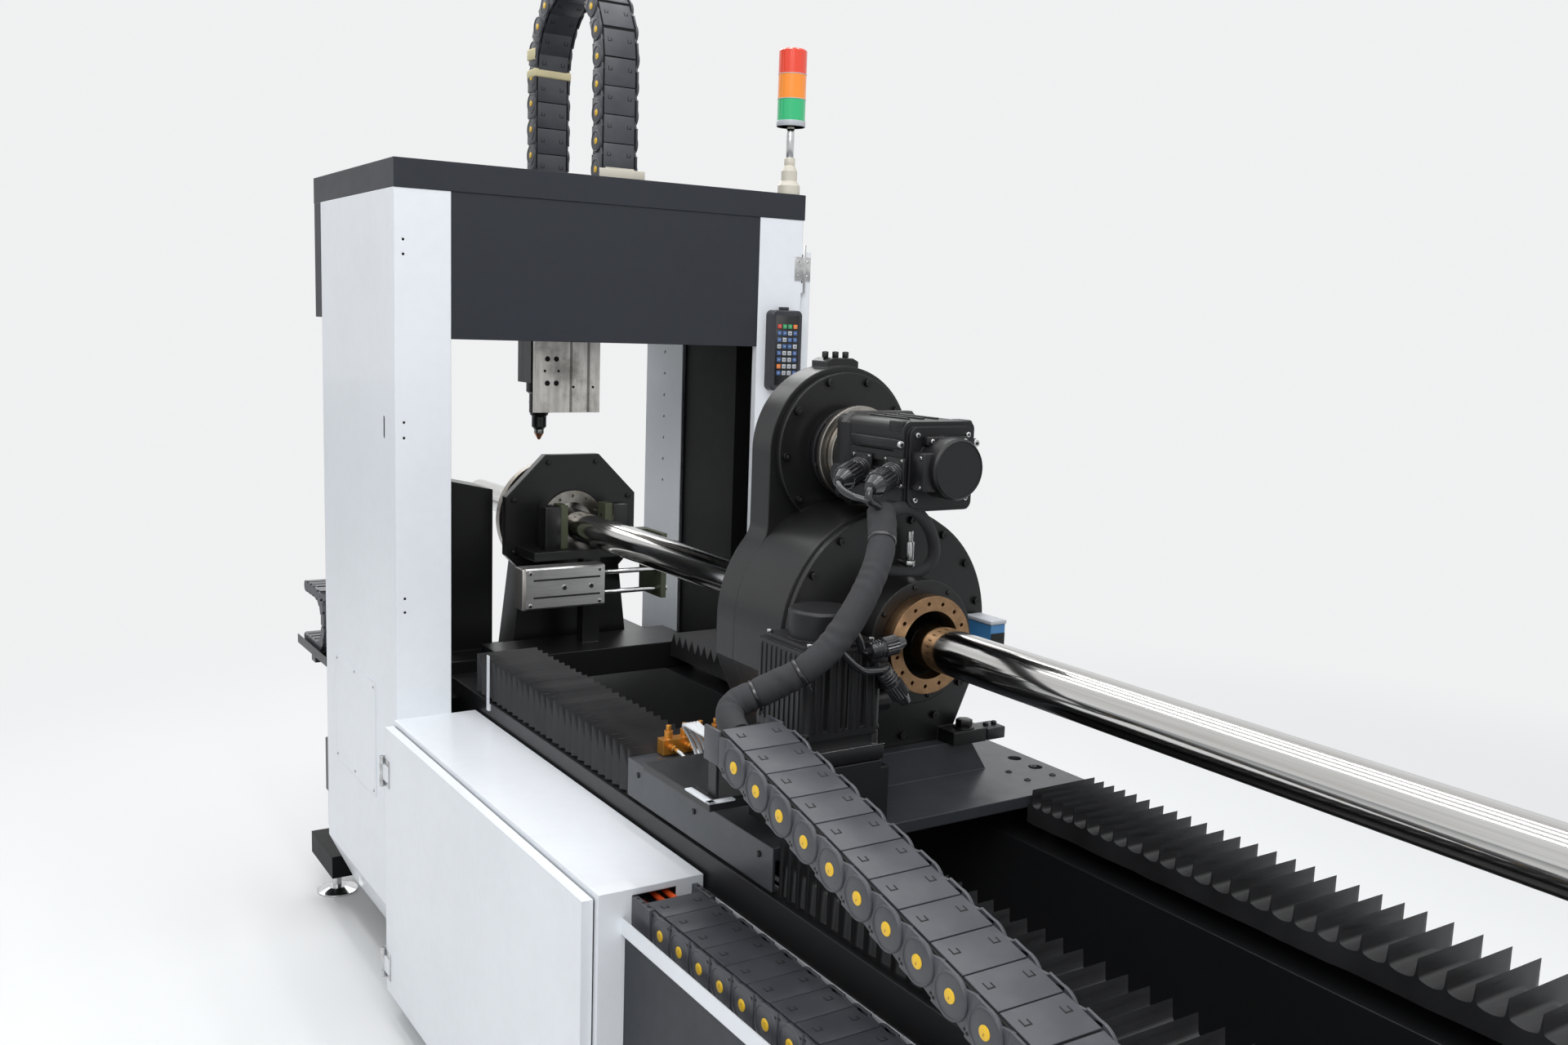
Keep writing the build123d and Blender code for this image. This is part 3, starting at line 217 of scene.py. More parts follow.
chrome = steel("foot_chrome", (0.72, 0.72, 0.73), 0.14, (1.0, 1.0, 0.2))
bronze = steel("bronze", (0.36, 0.22, 0.12), 0.36, (1.0, 6.0, 1.0), 0.00008, (0.2, 0.12, 0.07))
spindleSteel = steel("spindle_steel", (0.36, 0.34, 0.31), 0.32, (1.0, 8.0, 1.0), stain=(0.2, 0.16, 0.1))
jawSteel = steel("jaw_steel", (0.42, 0.42, 0.42), 0.3, (1.0, 1.0, 0.1))
stainedSteel = steel("stained_steel", (0.8, 0.77, 0.73), 0.46, (1.0, 1.0, 0.15), stain=(0.22, 0.215, 0.2))
grooveSteel = steel("groove_steel", (0.34, 0.32, 0.3), 0.5, (1.0, 1.0, 0.15), stain=(0.12, 0.115, 0.1))
copper = steel("nozzle_copper", (0.6, 0.28, 0.16), 0.3, (1.0, 1.0, 0.2))
aluminium = steel("cylinder_aluminium", (0.72, 0.72, 0.71), 0.4, (0.1, 1.0, 1.0), 0.00005, (0.4, 0.4, 0.4))
headBlack = steel("head_black", (0.06, 0.06, 0.062), 0.4, (1.0, 1.0, 0.2))
boltBlack = steel("black_bolts", (0.05, 0.05, 0.05), 0.36, (1.0, 1.0, 1.0))
boltSilver = steel("silver_bolts", (0.6, 0.6, 0.6), 0.25, (1.0, 1.0, 1.0))
chainPlastic = plastic("chain_plastic", (0.045, 0.047, 0.056), 0.42, grain=500.0, edge=0.001, dust=0.5)
markBlack = plastic("slot_black", (0.002, 0.002, 0.002), 0.8, dust=0.02)
# black of the frame behind the cabinet's door: painted shade in the door's gap
gapShadeBlack = plastic("gap_shade_black", (0.01, 0.01, 0.01), 0.75)
padPlastic = plastic("keypad_plastic", (0.02, 0.022, 0.029), 0.4)
pumpPlastic = plastic("pump_plastic", (0.04, 0.04, 0.042), 0.42)
sensorPlastic = plastic("sensor_plastic", (0.05, 0.2, 0.42), 0.35)
glossBlack = plastic("connector_black", (0.016, 0.016, 0.018), 0.22, grain=200.0, depth=0.00005, edge=0.001,
                     dust=0.2, coat=0.3)
redLens = lens("red_lens", (0.72, 0.05, 0.02))
amberLens = lens("amber_lens", (0.85, 0.25, 0.02))
greenLens = lens("green_lens", (0.02, 0.42, 0.16))
capYellow = plastic("cap_yellow", (0.82, 0.5, 0.012), 0.4)
capShade = plastic("cap_shade", (0.42, 0.22, 0.006), 0.5)
tubeWhite = plastic("air_tube_white", (0.72, 0.73, 0.74), 0.3, coat=0.2)
hoseOrange = plastic("hose_orange", (0.8, 0.1, 0.02), 0.35)
keyPale = plastic("key_pale", (0.45, 0.47, 0.5), 0.4)
keyBlue = plastic("key_blue", (0.06, 0.13, 0.32), 0.4)
keyRed = plastic("key_red", (0.6, 0.05, 0.03), 0.4)
keyGreen = plastic("key_green", (0.03, 0.35, 0.12), 0.4)
keyOrange = plastic("key_orange", (0.75, 0.2, 0.03), 0.4)
bellowsCloth = cloth("bellows_fabric", (0.0125, 0.0125, 0.0135), 0.42, 900.0, 0.0001)
sleeveCloth = cloth("sleeve_fabric", (0.02, 0.02, 0.023), 0.8, 320.0, 0.0006)
tapeCream = cloth("cream_tape", (0.62, 0.55, 0.33), 0.6, 500.0, 0.0001, 1.1)
polishedTube = streaked("polished_tube")

finishes = {
    white: ["left_column_cover", "right_column_cover", "base_cabinet", "cabinet_door", "side_door", "cable_tray",
            "marker_strip"],
    charcoal: ["top_cap", "front_panel", "rear_cover", "tray_panel"],
    frameBlack: ["bed_frame", "rear_tray", "motor_bracket"],
    portalBlack: ["portal_frame"],
    carriageBlack: ["carriage_plate"],
    housing: ["front_chuck_housing", "chuck_bridge", "chuck_back", "chuck_drum", "spindle_nose"],
    motorBlack: ["spin_motor", "travel_motor"],
    cream: ["cap_fittings"],
    olive: ["left_clamp", "right_clamp"],
    gold: ["valve_manifold"],
    railSteel: ["guide_rails"],
    chrome: ["levelling_feet"],
    bronze: ["bronze_ring"],
    spindleSteel: ["rear_spindle", "front_spindle", "guide_blocks", "travel_pinion"],
    jawSteel: [end + "_jaw_" + number for end in ("rear", "front") for number in "1234"],
    stainedSteel: ["head_slide"],
    aluminium: ["clamp_cylinder"],
    headBlack: ["cutting_head"],
    boltBlack: ["chuck_bolts"],
    chainPlastic: ["top_chain", "carriage_chain", "rear_chain"],
    padPlastic: ["handheld"],
    pumpPlastic: ["lubricator"],
    sensorPlastic: ["tube_sensor"],
    redLens: ["light_red"],
    amberLens: ["light_amber"],
    greenLens: ["light_green"],
    bellowsCloth: ["bellows_front", "bellows_rear"],
    sleeveCloth: ["cable_harness"],
    polishedTube: ["workpiece_tube"],
}
for material, names in finishes.items():
    for name in names:
        for slot in nodes[name].material_slots:
            slot.material = material


# modelling helpers
def deselect():
    if bpy.context.mode != "OBJECT":
        bpy.ops.object.mode_set(mode="OBJECT")
    bpy.ops.object.select_all(action="DESELECT")


def pick(piece):
    deselect()
    piece.select_set(True)
    bpy.context.view_layer.objects.active = piece


def useModifier(piece, kind, **values):
    pick(piece)
    modifier = piece.modifiers.new(kind.lower(), kind)
    for key, value in values.items():
        setattr(modifier, key, value)
    bpy.ops.object.modifier_apply(modifier=modifier.name)


def soften(piece, width, segments=2):
    useModifier(piece, "BEVEL", width=width, segments=segments, limit_method="ANGLE", angle_limit=0.6)


def paintAs(piece, look):
    piece.data.materials.clear()
    piece.data.materials.append(look)


# the new object gets its place, softened edges and material
def settle(edge, segments, look):
    bpy.ops.object.transform_apply(location=True, rotation=True, scale=True)
    piece = bpy.context.object
    if edge:
        soften(piece, edge, segments)
    if look:
        paintAs(piece, look)
    return piece


# a block between any two opposite corners
def slab(start, end, edge=0.0, segments=2, look=None):
    deselect()
    bpy.ops.mesh.primitive_cube_add(size=1, location=[(a + b) / 2 for a, b in zip(start, end)])
    bpy.context.object.scale = [abs(b - a) for a, b in zip(start, end)]
    return settle(edge, segments, look)


turns = {"x": (0, math.pi / 2, 0), "y": (-math.pi / 2, 0, 0), "z": (0, 0, 0)}


# a round bar along an axis, or a tapered one where far is given
def bar(axis, radius, length, middle, sides=24, edge=0.0, far=None, look=None):
    deselect()
    place = {"vertices": sides, "depth": length, "location": middle, "rotation": turns[axis]}
    if far is None:
        bpy.ops.mesh.primitive_cylinder_add(radius=radius, **place)
    else:
        bpy.ops.mesh.primitive_cone_add(radius1=radius, radius2=far, **place)
    return settle(edge, 2, look)


def donut(axis, radius, thick, middle, around=40, about=10, look=None):
    deselect()
    bpy.ops.mesh.primitive_torus_add(major_radius=radius, minor_radius=thick, location=middle, rotation=turns[axis],
                                     major_segments=around, minor_segments=about)
    return settle(0.0, 2, look)


def merge(name, pieces, look=None, angle=0.6):
    if look:
        for piece in pieces:
            paintAs(piece, look)
    deselect()
    for piece in pieces:
        piece.select_set(True)
    bpy.context.view_layer.objects.active = pieces[0]
    if len(pieces) > 1:
        bpy.ops.object.join()
    piece = bpy.context.object
    piece.name = name
    piece.data.name = name
    bpy.ops.object.shade_smooth_by_angle(angle=angle)
    return piece


def copyAt(piece, matrix):
    twin = piece.copy()
    twin.data = piece.data.copy()
    bpy.context.scene.collection.objects.link(twin)
    twin.data.transform(matrix)
    return twin


# a socket screw: head with a softened rim and a dark hexagon in it
def screw(axis, radius, height, seat, sign, look=boltBlack):
    out = {"x": Vector((sign, 0, 0)), "y": Vector((0, sign, 0)), "z": Vector((0, 0, sign))}[axis]
    head = bar(axis, radius, height, Vector(seat) + out * height / 2, 18, radius * 0.18, look=look)
    socket = bar(axis, radius * 0.5, 0.0006, Vector(seat) + out * (height + 0.0001), 6, look=markBlack)
    return [head, socket]


def corners(first, second):
    return product((-first, first), (-second, second))


# a point on a ring that lies across the y axis, round a centre at x = 0
def onRing(radius, turn, y, z):
    return (radius * math.cos(turn), y, z + radius * math.sin(turn))


def fit(piece, body):
    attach(piece, body)


# energy chains
chainValues = {
    "left": -0.466, "right": -0.352, "height": 0.058, "endY": -0.265, "endZ": 1.0, "slope": 14, "bend": 0.088,
    "fixedY": -0.057, "trayZ": 0.624, "links": 30, "cap": 0.0088, "hoseLevels": (0.652, 0.664, 0.668),
}


# one side of a link: a round plate over the pin, the flat plate beside it and the set-back part behind
def sidePlate(pitch, radius, outer, sign, cap):
    wall = 0.005
    inside = outer - sign * wall
    flat = outer - sign * 0.0006
    back = outer - sign * 0.0028
    pad = bar("x", radius, wall, ((outer + inside) / 2, pitch, 0), 40)
    plate = slab((flat, radius * 1.16, -radius + 0.0003), (inside, pitch, radius - 0.0003))
    under = slab((back, 0.0, -radius + 0.001), (back - sign * wall, radius * 1.25, radius - 0.001))
    for vertex in under.data.vertices:
        if vertex.co.y < radius * 0.5:
            vertex.co.z *= 0.58 if vertex.co.z < 0 else 0.8
    parts = [pad, plate, under]
    for part in parts:
        soften(part, 0.0009)
    parts.append(donut("x", radius * 0.93, 0.0012, (outer, pitch, 0), 32, 6))
    for part in parts:
        paintAs(part, chainPlastic)
    for start, face in ((0.98, back), (1.22, flat)):
        parts.append(slab((face, radius * start, radius * 0.68),
                          (face + sign * 0.0003, radius * (start + 0.15), radius * 0.8), look=markBlack))
    parts.append(bar("x", cap, 0.0016, (outer + sign * 0.0004, pitch, 0), 24, 0.0005, look=capYellow))
    parts.append(slab((outer, pitch - 0.0007, cap * 0.05), (outer + sign * 0.0014, pitch + 0.0007, cap * 0.5),
                      look=capShade))
    return parts


def latchMark(x, y, z, size, side):
    line = size * 0.17
    left, right, top = x - size / 2, x + size / 2, z + 0.0004
    return [slab((left, y, z), (left + line, y + side * size, top), look=markBlack),
            slab((left, y, z), (right, y + side * line, top), look=markBlack),
            slab((right - line, y, z), (right, y + side * size * 0.8, top), look=markBlack)]


def chainLink(name, pitch, values):
    left, right, radius = values["left"], values["right"], values["height"] / 2
    parts = sidePlate(pitch, radius, left, -1, values["cap"]) + sidePlate(pitch, radius, right, 1, values["cap"])
    rim, bedRim = 0.0095, 0.0065
    for sign in (-1, 1):
        parts.append(slab((left + rim, 0.0045, sign * (radius - 0.0012)),
                          (right - rim, pitch + 0.0025, sign * (radius - 0.0045)), 0.0007, look=chainPlastic))
        parts.append(slab((left + bedRim, -0.002, sign * (radius - 0.0046)),
                          (right - bedRim, pitch, sign * (radius - 0.0085)), look=markBlack))
    width = right - left
    for share in (0.24, 0.76):
        for z, side in ((radius - 0.0013, 1), (0.0009 - radius, -1)):
            parts += latchMark(left + width * share, pitch * 0.52, z, width * 0.1, side)
    return merge(name, parts)


# pins down the slope, round the bend and along the tray, evenly spaced
def chainRoute(values):
    lowZ = values["trayZ"] + values["height"] / 2
    tilt = math.radians(values["slope"])
    topZ = lowZ + values["bend"] * (1 + math.cos(tilt))
    upperRun = (values["endZ"] - topZ) / math.sin(tilt)
    topY = values["endY"] - upperRun * math.cos(tilt)
    bendY = topY + values["bend"] * math.sin(tilt)
    arc = values["bend"] * (math.pi - tilt)
    total = upperRun + arc + values["fixedY"] - bendY
    pins = []
    for i in range(values["links"] + 1):
        run = total * i / values["links"]
        if run < upperRun:
            pins.append((values["endY"] - run * math.cos(tilt), values["endZ"] - run * math.sin(tilt)))
        elif run < upperRun + arc:
            turn = math.pi / 2 + tilt + (run - upperRun) / values["bend"]
            pins.append((bendY + values["bend"] * math.cos(turn), lowZ + values["bend"] * (1 + math.sin(turn))))
        else:
            pins.append((bendY + run - upperRun - arc, lowZ))
    return pins, total / values["links"]


def layLinks(link, pins):
    laid = []
    for (y0, z0), (y1, z1) in zip(pins, pins[1:]):
        turn = Matrix.Rotation(math.atan2(z1 - z0, y1 - y0), 4, "X")
        laid.append(copyAt(link, Matrix.Translation((0, y0, z0)) @ turn))
    bpy.data.objects.remove(link)
    return laid


def carriageChain():
    print("carriage chain")
    values = chainValues
    pins, pitch = chainRoute(values)
    left, right, radius = values["left"], values["right"], values["height"] / 2
    links = layLinks(chainLink("chainLink", pitch, values), pins)
    lowZ = values["trayZ"] + radius
    down = next(i for i, pin in enumerate(pins) if pin[1] < lowZ + 0.002)
    upper = merge("carriageChainUpper", links[:down])
    lower = merge("carriageChainLower", links[down:])
    # end bracket at the cabinet's mouth, with holes in each arm, and the hoses that go in
    y, top, bottom = values["fixedY"], lowZ + radius, lowZ - radius
    arms = []
    for x in (left - 0.003, right - 0.008):
        arms.append(slab((x, y - 0.03, bottom), (x + 0.011, y + 0.032, top + 0.0008), 0.0015, look=chainPlastic))
        for step in (-0.017, 0.001, 0.019):
            arms.append(bar("z", 0.0032, 0.001, (x + 0.0055, y + step, top + 0.0006), 16, look=markBlack))
    arms.append(slab((left + 0.008, y + 0.001, bottom + 0.001), (right - 0.008, y + 0.028, bottom + 0.006), 0.001,
                     look=chainPlastic))
    foot = merge("chainFoot", arms)
    hoses = [bar("y", 0.005, 0.05, (left + 0.035 + 0.018 * i, y + 0.045, z), 16, 0.001)
             for i, z in enumerate(values["hoseLevels"])]
    hose = merge("chainHoses", hoses, hoseOrange)
    # small bracket at the chain's start on the carriage
    y, z = values["endY"], values["endZ"]
    starts = [slab((left + 0.004, y - 0.004, z - 0.024), (right - 0.004, y + 0.03, z - 0.019), 0.001)]
    for x in (left + 0.002, right - 0.008):
        starts.append(slab((x, y - 0.012, z - 0.027), (x + 0.006, y + 0.03, z + 0.024), 0.0015))
    start = merge("chainStart", starts, chainPlastic)
    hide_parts("carriage_chain")
    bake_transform(upper)
    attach(hose, "machine")
    for piece, body in ((lower, "machine"), (foot, "machine"), (start, "carriage")):
        fit(piece, body)


archValues = {
    "left": -0.01, "right": 0.088, "front": 1.15, "radius": 0.2, "pitch": 0.065, "height": 0.05, "straight": 4,
    "rearLinks": 8, "footZ": 1.944, "cap": 0.0075, "tapes": ((2.262, 0.03), (2.215, 0.022)), "tapeOver": 0.002,
}


def topChain():
    print("top chain")
    values = archValues
    pitch, radius, front = values["pitch"], values["radius"], values["front"]
    top = values["footZ"] + values["straight"] * pitch
    pins = [(front, values["footZ"] + i * pitch) for i in range(values["straight"])]
    steps = round(math.pi * radius / pitch)
    for i in range(steps + 1):
        turn = math.pi - math.pi * i / steps
        pins.append((front + radius + radius * math.cos(turn), top + radius * math.sin(turn)))
    rearY = front + 2 * radius
    pins += [(rearY, top - i * pitch) for i in range(1, values["rearLinks"] + 1)]
    pins.reverse()
    links = layLinks(chainLink("archLink", pitch, values), pins)
    rear = merge("topChainRear", links[:values["rearLinks"]])
    arch = merge("topChainFront", links[values["rearLinks"]:])
    # cloth tape wrapped round the rear leg
    bands = []
    over = values["tapeOver"]
    half = values["height"] / 2 + over
    for z, tall in values["tapes"]:
        band = slab((values["left"] - over, rearY - half, z - tall / 2),
                    (values["right"] + over, rearY + half, z + tall / 2), 0.004, 3)
        for vertex in band.data.vertices:
            vertex.co.z += 0.004 * math.sin(vertex.co.x * 60) + 0.003 * math.sin(vertex.co.y * 90 + z * 10)
        bands.append(band)
    tape = merge("chainTape", bands, tapeCream)
    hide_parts("top_chain")
    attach(arch, "machine")
    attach(tape, "machine")
    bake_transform(rear)


# bellows: runs are start, end, folds and how evenly the folds are spread
bellowsValues = {
    "inner": 0.182, "outer": 0.329, "peak": 0.824, "valley": 0.794, "skirt": 0.735, "draw": 0.014,
    "notch": {"Front": 0.018, "Rear": 0.03}, "cloth": 0.0022,
    "stations": [0.0, 0.16, 0.3, 0.4, 0.445, 0.475, 0.5, 0.525, 0.555, 0.6, 0.7, 0.84, 1.0],
    "across": [0.0, 0.0, 0.35, 0.7, 0.8, 0.9, 0.96, 1.0],
    "down": [0.08, 0.2, 0.35, 0.6, 1.0],
    "runs": {"Front": (-1.962, -0.2305, 46, 0.42), "Rear": (0.2655, 1.079, 26, 1.0)},
}


# standing fins on the front run, even zigzag folds on the rear run
def crest(share, run):
    away = abs(share - 0.5) * 2
    fin = (1 - away) ** 2.2 * 0.2 + max(0.0, 1 - away * 8.0) * 0.8
    return fin if run == "Front" else (1 - away) ** 1.15


# one fold is shaped on a grid, repeated along the rail, and then each fold drifts a little from its place
def bellowsPiece(run, name, side):
    values = bellowsValues
    low, high, folds, close = values["runs"][run]
    step = (high - low) / folds
    stations, across, down = values["stations"], values["across"], values["down"]
    inner, outer, valley, notch = values["inner"], values["outer"], values["valley"], values["notch"][run]
    deselect()
    bpy.ops.mesh.primitive_grid_add(x_subdivisions=len(stations) - 1, y_subdivisions=len(across) + len(down) - 1,
                                    size=1)
    piece = bpy.context.object
    xs = sorted({round(v.co.x, 5) for v in piece.data.vertices})
    ys = sorted({round(v.co.y, 5) for v in piece.data.vertices})
    for vertex in piece.data.vertices:
        share = stations[xs.index(round(vertex.co.x, 5))]
        j = ys.index(round(vertex.co.y, 5))
        rise = crest(share, run)
        top = valley + (values["peak"] - valley) * rise
        if j < len(across):
            x = inner + across[j] * (outer - inner - values["draw"] * (1 - rise))
            z = valley - 0.03 if j == 0 else top - (1 - rise) * notch * max(0.0, across[j] - 0.7) / 0.3
        else:
            drop = down[j - len(across)]
            x = outer - values["draw"] * (1 - rise) * (1 - 0.25 * drop)
            corner = top - (1 - rise) * notch
            z = corner + (values["skirt"] - corner) * drop
        vertex.co = (x, share * step, z)
    useModifier(piece, "ARRAY", count=folds, use_relative_offset=False, use_constant_offset=True,
                constant_offset_displace=(0, step, 0), use_merge_vertices=True, merge_threshold=0.0002)
    rng = random.Random(folds * 7 + side)
    sag = [rng.uniform(-1, 1) for i in range(folds + 2)]
    for vertex in piece.data.vertices:
        place = vertex.co.y / step
        k = min(int(place), folds)
        drift = sag[k] * (1 - (place - k)) + sag[k + 1] * (place - k)
        along = min(1.0, max(0.0, place / folds))
        packed = along * close + (1 - close) * (1 - (1 - along) ** 1.4)
        vertex.co.y = low + packed * (high - low) + drift * step * 0.1 * math.sin(math.pi * along)
        vertex.co.z += drift * 0.0009
        vertex.co.x *= side
    pick(piece)
    bpy.ops.object.mode_set(mode="EDIT")
    bpy.ops.mesh.select_all(action="SELECT")
    bpy.ops.mesh.remove_doubles(threshold=0.0001)
    bpy.ops.mesh.normals_make_consistent(inside=False)
    bpy.ops.object.mode_set(mode="OBJECT")
    useModifier(piece, "SOLIDIFY", thickness=values["cloth"], offset=-1.0)
    return merge(name, [piece], bellowsCloth, 0.9)


def bellows():
    print("bellows")
    for run, (low, high, folds, close) in bellowsValues["runs"].items():
        for sideName, side in (("Left", -1), ("Right", 1)):
            piece = bellowsPiece(run, "bellows" + run + sideName, side)
            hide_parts("bellows_" + run.lower())
            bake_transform(piece)


# cords: hoses and cables that run between two places on the object
def softCurve(points, radius, resolution):
    curve = bpy.data.curves.new("line", "CURVE")
    curve.dimensions = "3D"
    curve.bevel_depth = radius
    curve.bevel_resolution = 5
    curve.use_fill_caps = radius > 0
    spline = curve.splines.new("NURBS")
    spline.points.add(len(points) - 1)
    for point, place in zip(spline.points, points):
        point.co = place + (1.0,)
    spline.order_u = 3
    spline.use_endpoint_u = True
    spline.resolution_u = resolution
    return bpy.data.objects.new("line", curve)


def softLine(points, radius, resolution):
    line = softCurve(points, radius, resolution)
    bpy.context.scene.collection.objects.link(line)
    pick(line)
    bpy.ops.object.convert(target="MESH")
    return bpy.context.object


def centreOf(points, resolution):
    path = softCurve(points, 0, resolution)
    found = [vertex.co.copy() for vertex in bpy.data.meshes.new_from_object(path).vertices]
    bpy.data.objects.remove(path)
    return found


def declareCord(points, radius, resolution):
    centreOf(points, resolution)
    radius * 2


def looseCord(name, points, radius, resolution, look):
    piece = merge(name, [softLine(points, radius, resolution)], look)
    declareCord(points, radius, resolution)
    return piece


harnessValues = {
    "sleeve": 0.023, "sleeveLength": 0.495, "fineness": 24, "ties": [0.1, 0.62, 0.78], "lead": 0.0062,
    "route": [(-0.112, -0.166, 1.308), (-0.132, -0.205, 1.27), (-0.176, -0.238, 1.215), (-0.232, -0.252, 1.145),
              (-0.288, -0.248, 1.092), (-0.345, -0.205, 1.052), (-0.409, -0.185, 1.024), (-0.409, -0.24, 1.0)],
    "leads": [
        (0.077, [(-0.139, -0.178, 1.35), (-0.151, -0.184, 1.345), (-0.152, -0.187, 1.328),
                 (-0.126, -0.182, 1.32), (-0.117, -0.175, 1.298)]),
        (0.113, [(-0.139, -0.09, 1.35), (-0.153, -0.098, 1.345), (-0.15, -0.13, 1.33),
                 (-0.122, -0.16, 1.322), (-0.113, -0.17, 1.3)]),
        (0.086, [(-0.222, -0.252, 1.15), (-0.2, -0.25, 1.12), (-0.188, -0.232, 1.1), (-0.165, -0.228, 1.1)]),
        (0.137, [(-0.25, -0.255, 1.12), (-0.21, -0.252, 1.08), (-0.165, -0.234, 1.068), (-0.132, -0.229, 1.068)]),
    ],
}


def harness():
    print("harness")
    values = harnessValues
    route, radius, fineness = values["route"], values["sleeve"], values["fineness"]
    sleeve = softLine(route, radius, fineness)
    centre = centreOf(route, fineness)
    # creases gather in the bends and the cover is drawn in at the ties
    for vertex in sleeve.data.vertices:
        nearest = min(range(len(centre)), key=lambda i: (centre[i] - vertex.co).length_squared)
        share = nearest / len(centre)
        away = vertex.co - centre[nearest]
        if away.length < 0.001:
            continue
        tie = min(abs(share - spot) for spot in values["ties"])
        swell = 1.0 - 0.1 * math.exp(-(tie / 0.012) ** 2) + 0.03 * math.sin(share * 17 + 1.0)
        wander = 2.5 * math.sin(away.normalized().z * 3 + share * 20)
        crease = 0.035 * math.sin(share * 150 + wander) * (0.5 + 0.5 * math.sin(share * 31))
        vertex.co = centre[nearest] + away * (swell + crease)
    useModifier(sleeve, "SUBSURF", levels=1, render_levels=1)
    sleeve = merge("cableSleeve", [sleeve], sleeveCloth, 1.2)
    # a tie is a flat band with its knot and tail
    ties = []
    reach = radius * 0.93
    for spot in values["ties"]:
        i = int(spot * len(centre))
        direction = (centre[i + 1] - centre[i - 1]).normalized()
        band = donut("z", reach, 0.0016, (0, 0, 0), 40, 8)
        for vertex in band.data.vertices:
            vertex.co.z *= 2.0
        knot = slab((-0.004, -reach - 0.005, -0.0035), (0.004, -reach, 0.0035), 0.001)
        tail = slab((-0.0015, -reach - 0.014, -0.001), (0.0015, -reach - 0.004, 0.001), 0.0005)
        ties += aimed([band, knot, tail], centre[i], direction)
    tie = merge("sleeveTies", ties, glossBlack)
    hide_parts("cable_harness")
    declareCord(route, radius, fineness)
    leads = [looseCord("motorLead" + str(i + 1), points, values["lead"], 16, glossBlack)
             for i, (length, points) in enumerate(values["leads"])]
    for piece in (sleeve, tie, *leads):
        fit(piece, "carriage")


# shapes made along +Z are turned to point another way from a start
def aimed(pieces, start, direction):
    turn = Matrix.Translation(Vector(start)) @ Vector(direction).to_track_quat("Z", "Y").to_matrix().to_4x4()
    for piece in pieces:
        piece.data.transform(turn)
    return pieces


# cable plug: threaded collar, fluted nut and the gland the lead leaves by
def plug(start, direction, radius, length):
    collar = bar("z", radius * 0.86, length * 0.42, (0, 0, length * 0.21), 28, 0.001)
    threads = [donut("z", radius * 0.86, 0.0011, (0, 0, length * share), 28, 6) for share in (0.12, 0.2, 0.28)]
    sides = 40
    nut = bar("z", radius, length * 0.36, (0, 0, length * 0.58), sides)
    for vertex in nut.data.vertices:
        if round(math.atan2(vertex.co.y, vertex.co.x) / (2 * math.pi / sides)) % 2:
            vertex.co.x *= 0.9
            vertex.co.y *= 0.9
    gland = bar("z", radius * 0.84, length * 0.24, (0, 0, length * 0.88), 28, 0.0, radius * 0.5)
    parts = [collar, nut, gland] + threads
    for part in parts:
        paintAs(part, glossBlack)
    return aimed(parts, start, direction)


spinValues = {
    "z": 1.377, "rear": 0.02, "plateFront": -0.173, "capFront": -0.2202, "corner": 0.052, "padInner": 0.05,
    "padOuter": 0.0742, "ring": 0.0715, "plugs": [-0.06, -0.148], "plugFace": -0.0775, "plugZ": 1.368,
    "plugRadius": 0.0215, "plugLength": 0.082, "point": (-0.86, -0.4, -0.24), "block": 0.079, "blockFront": -0.03,
}


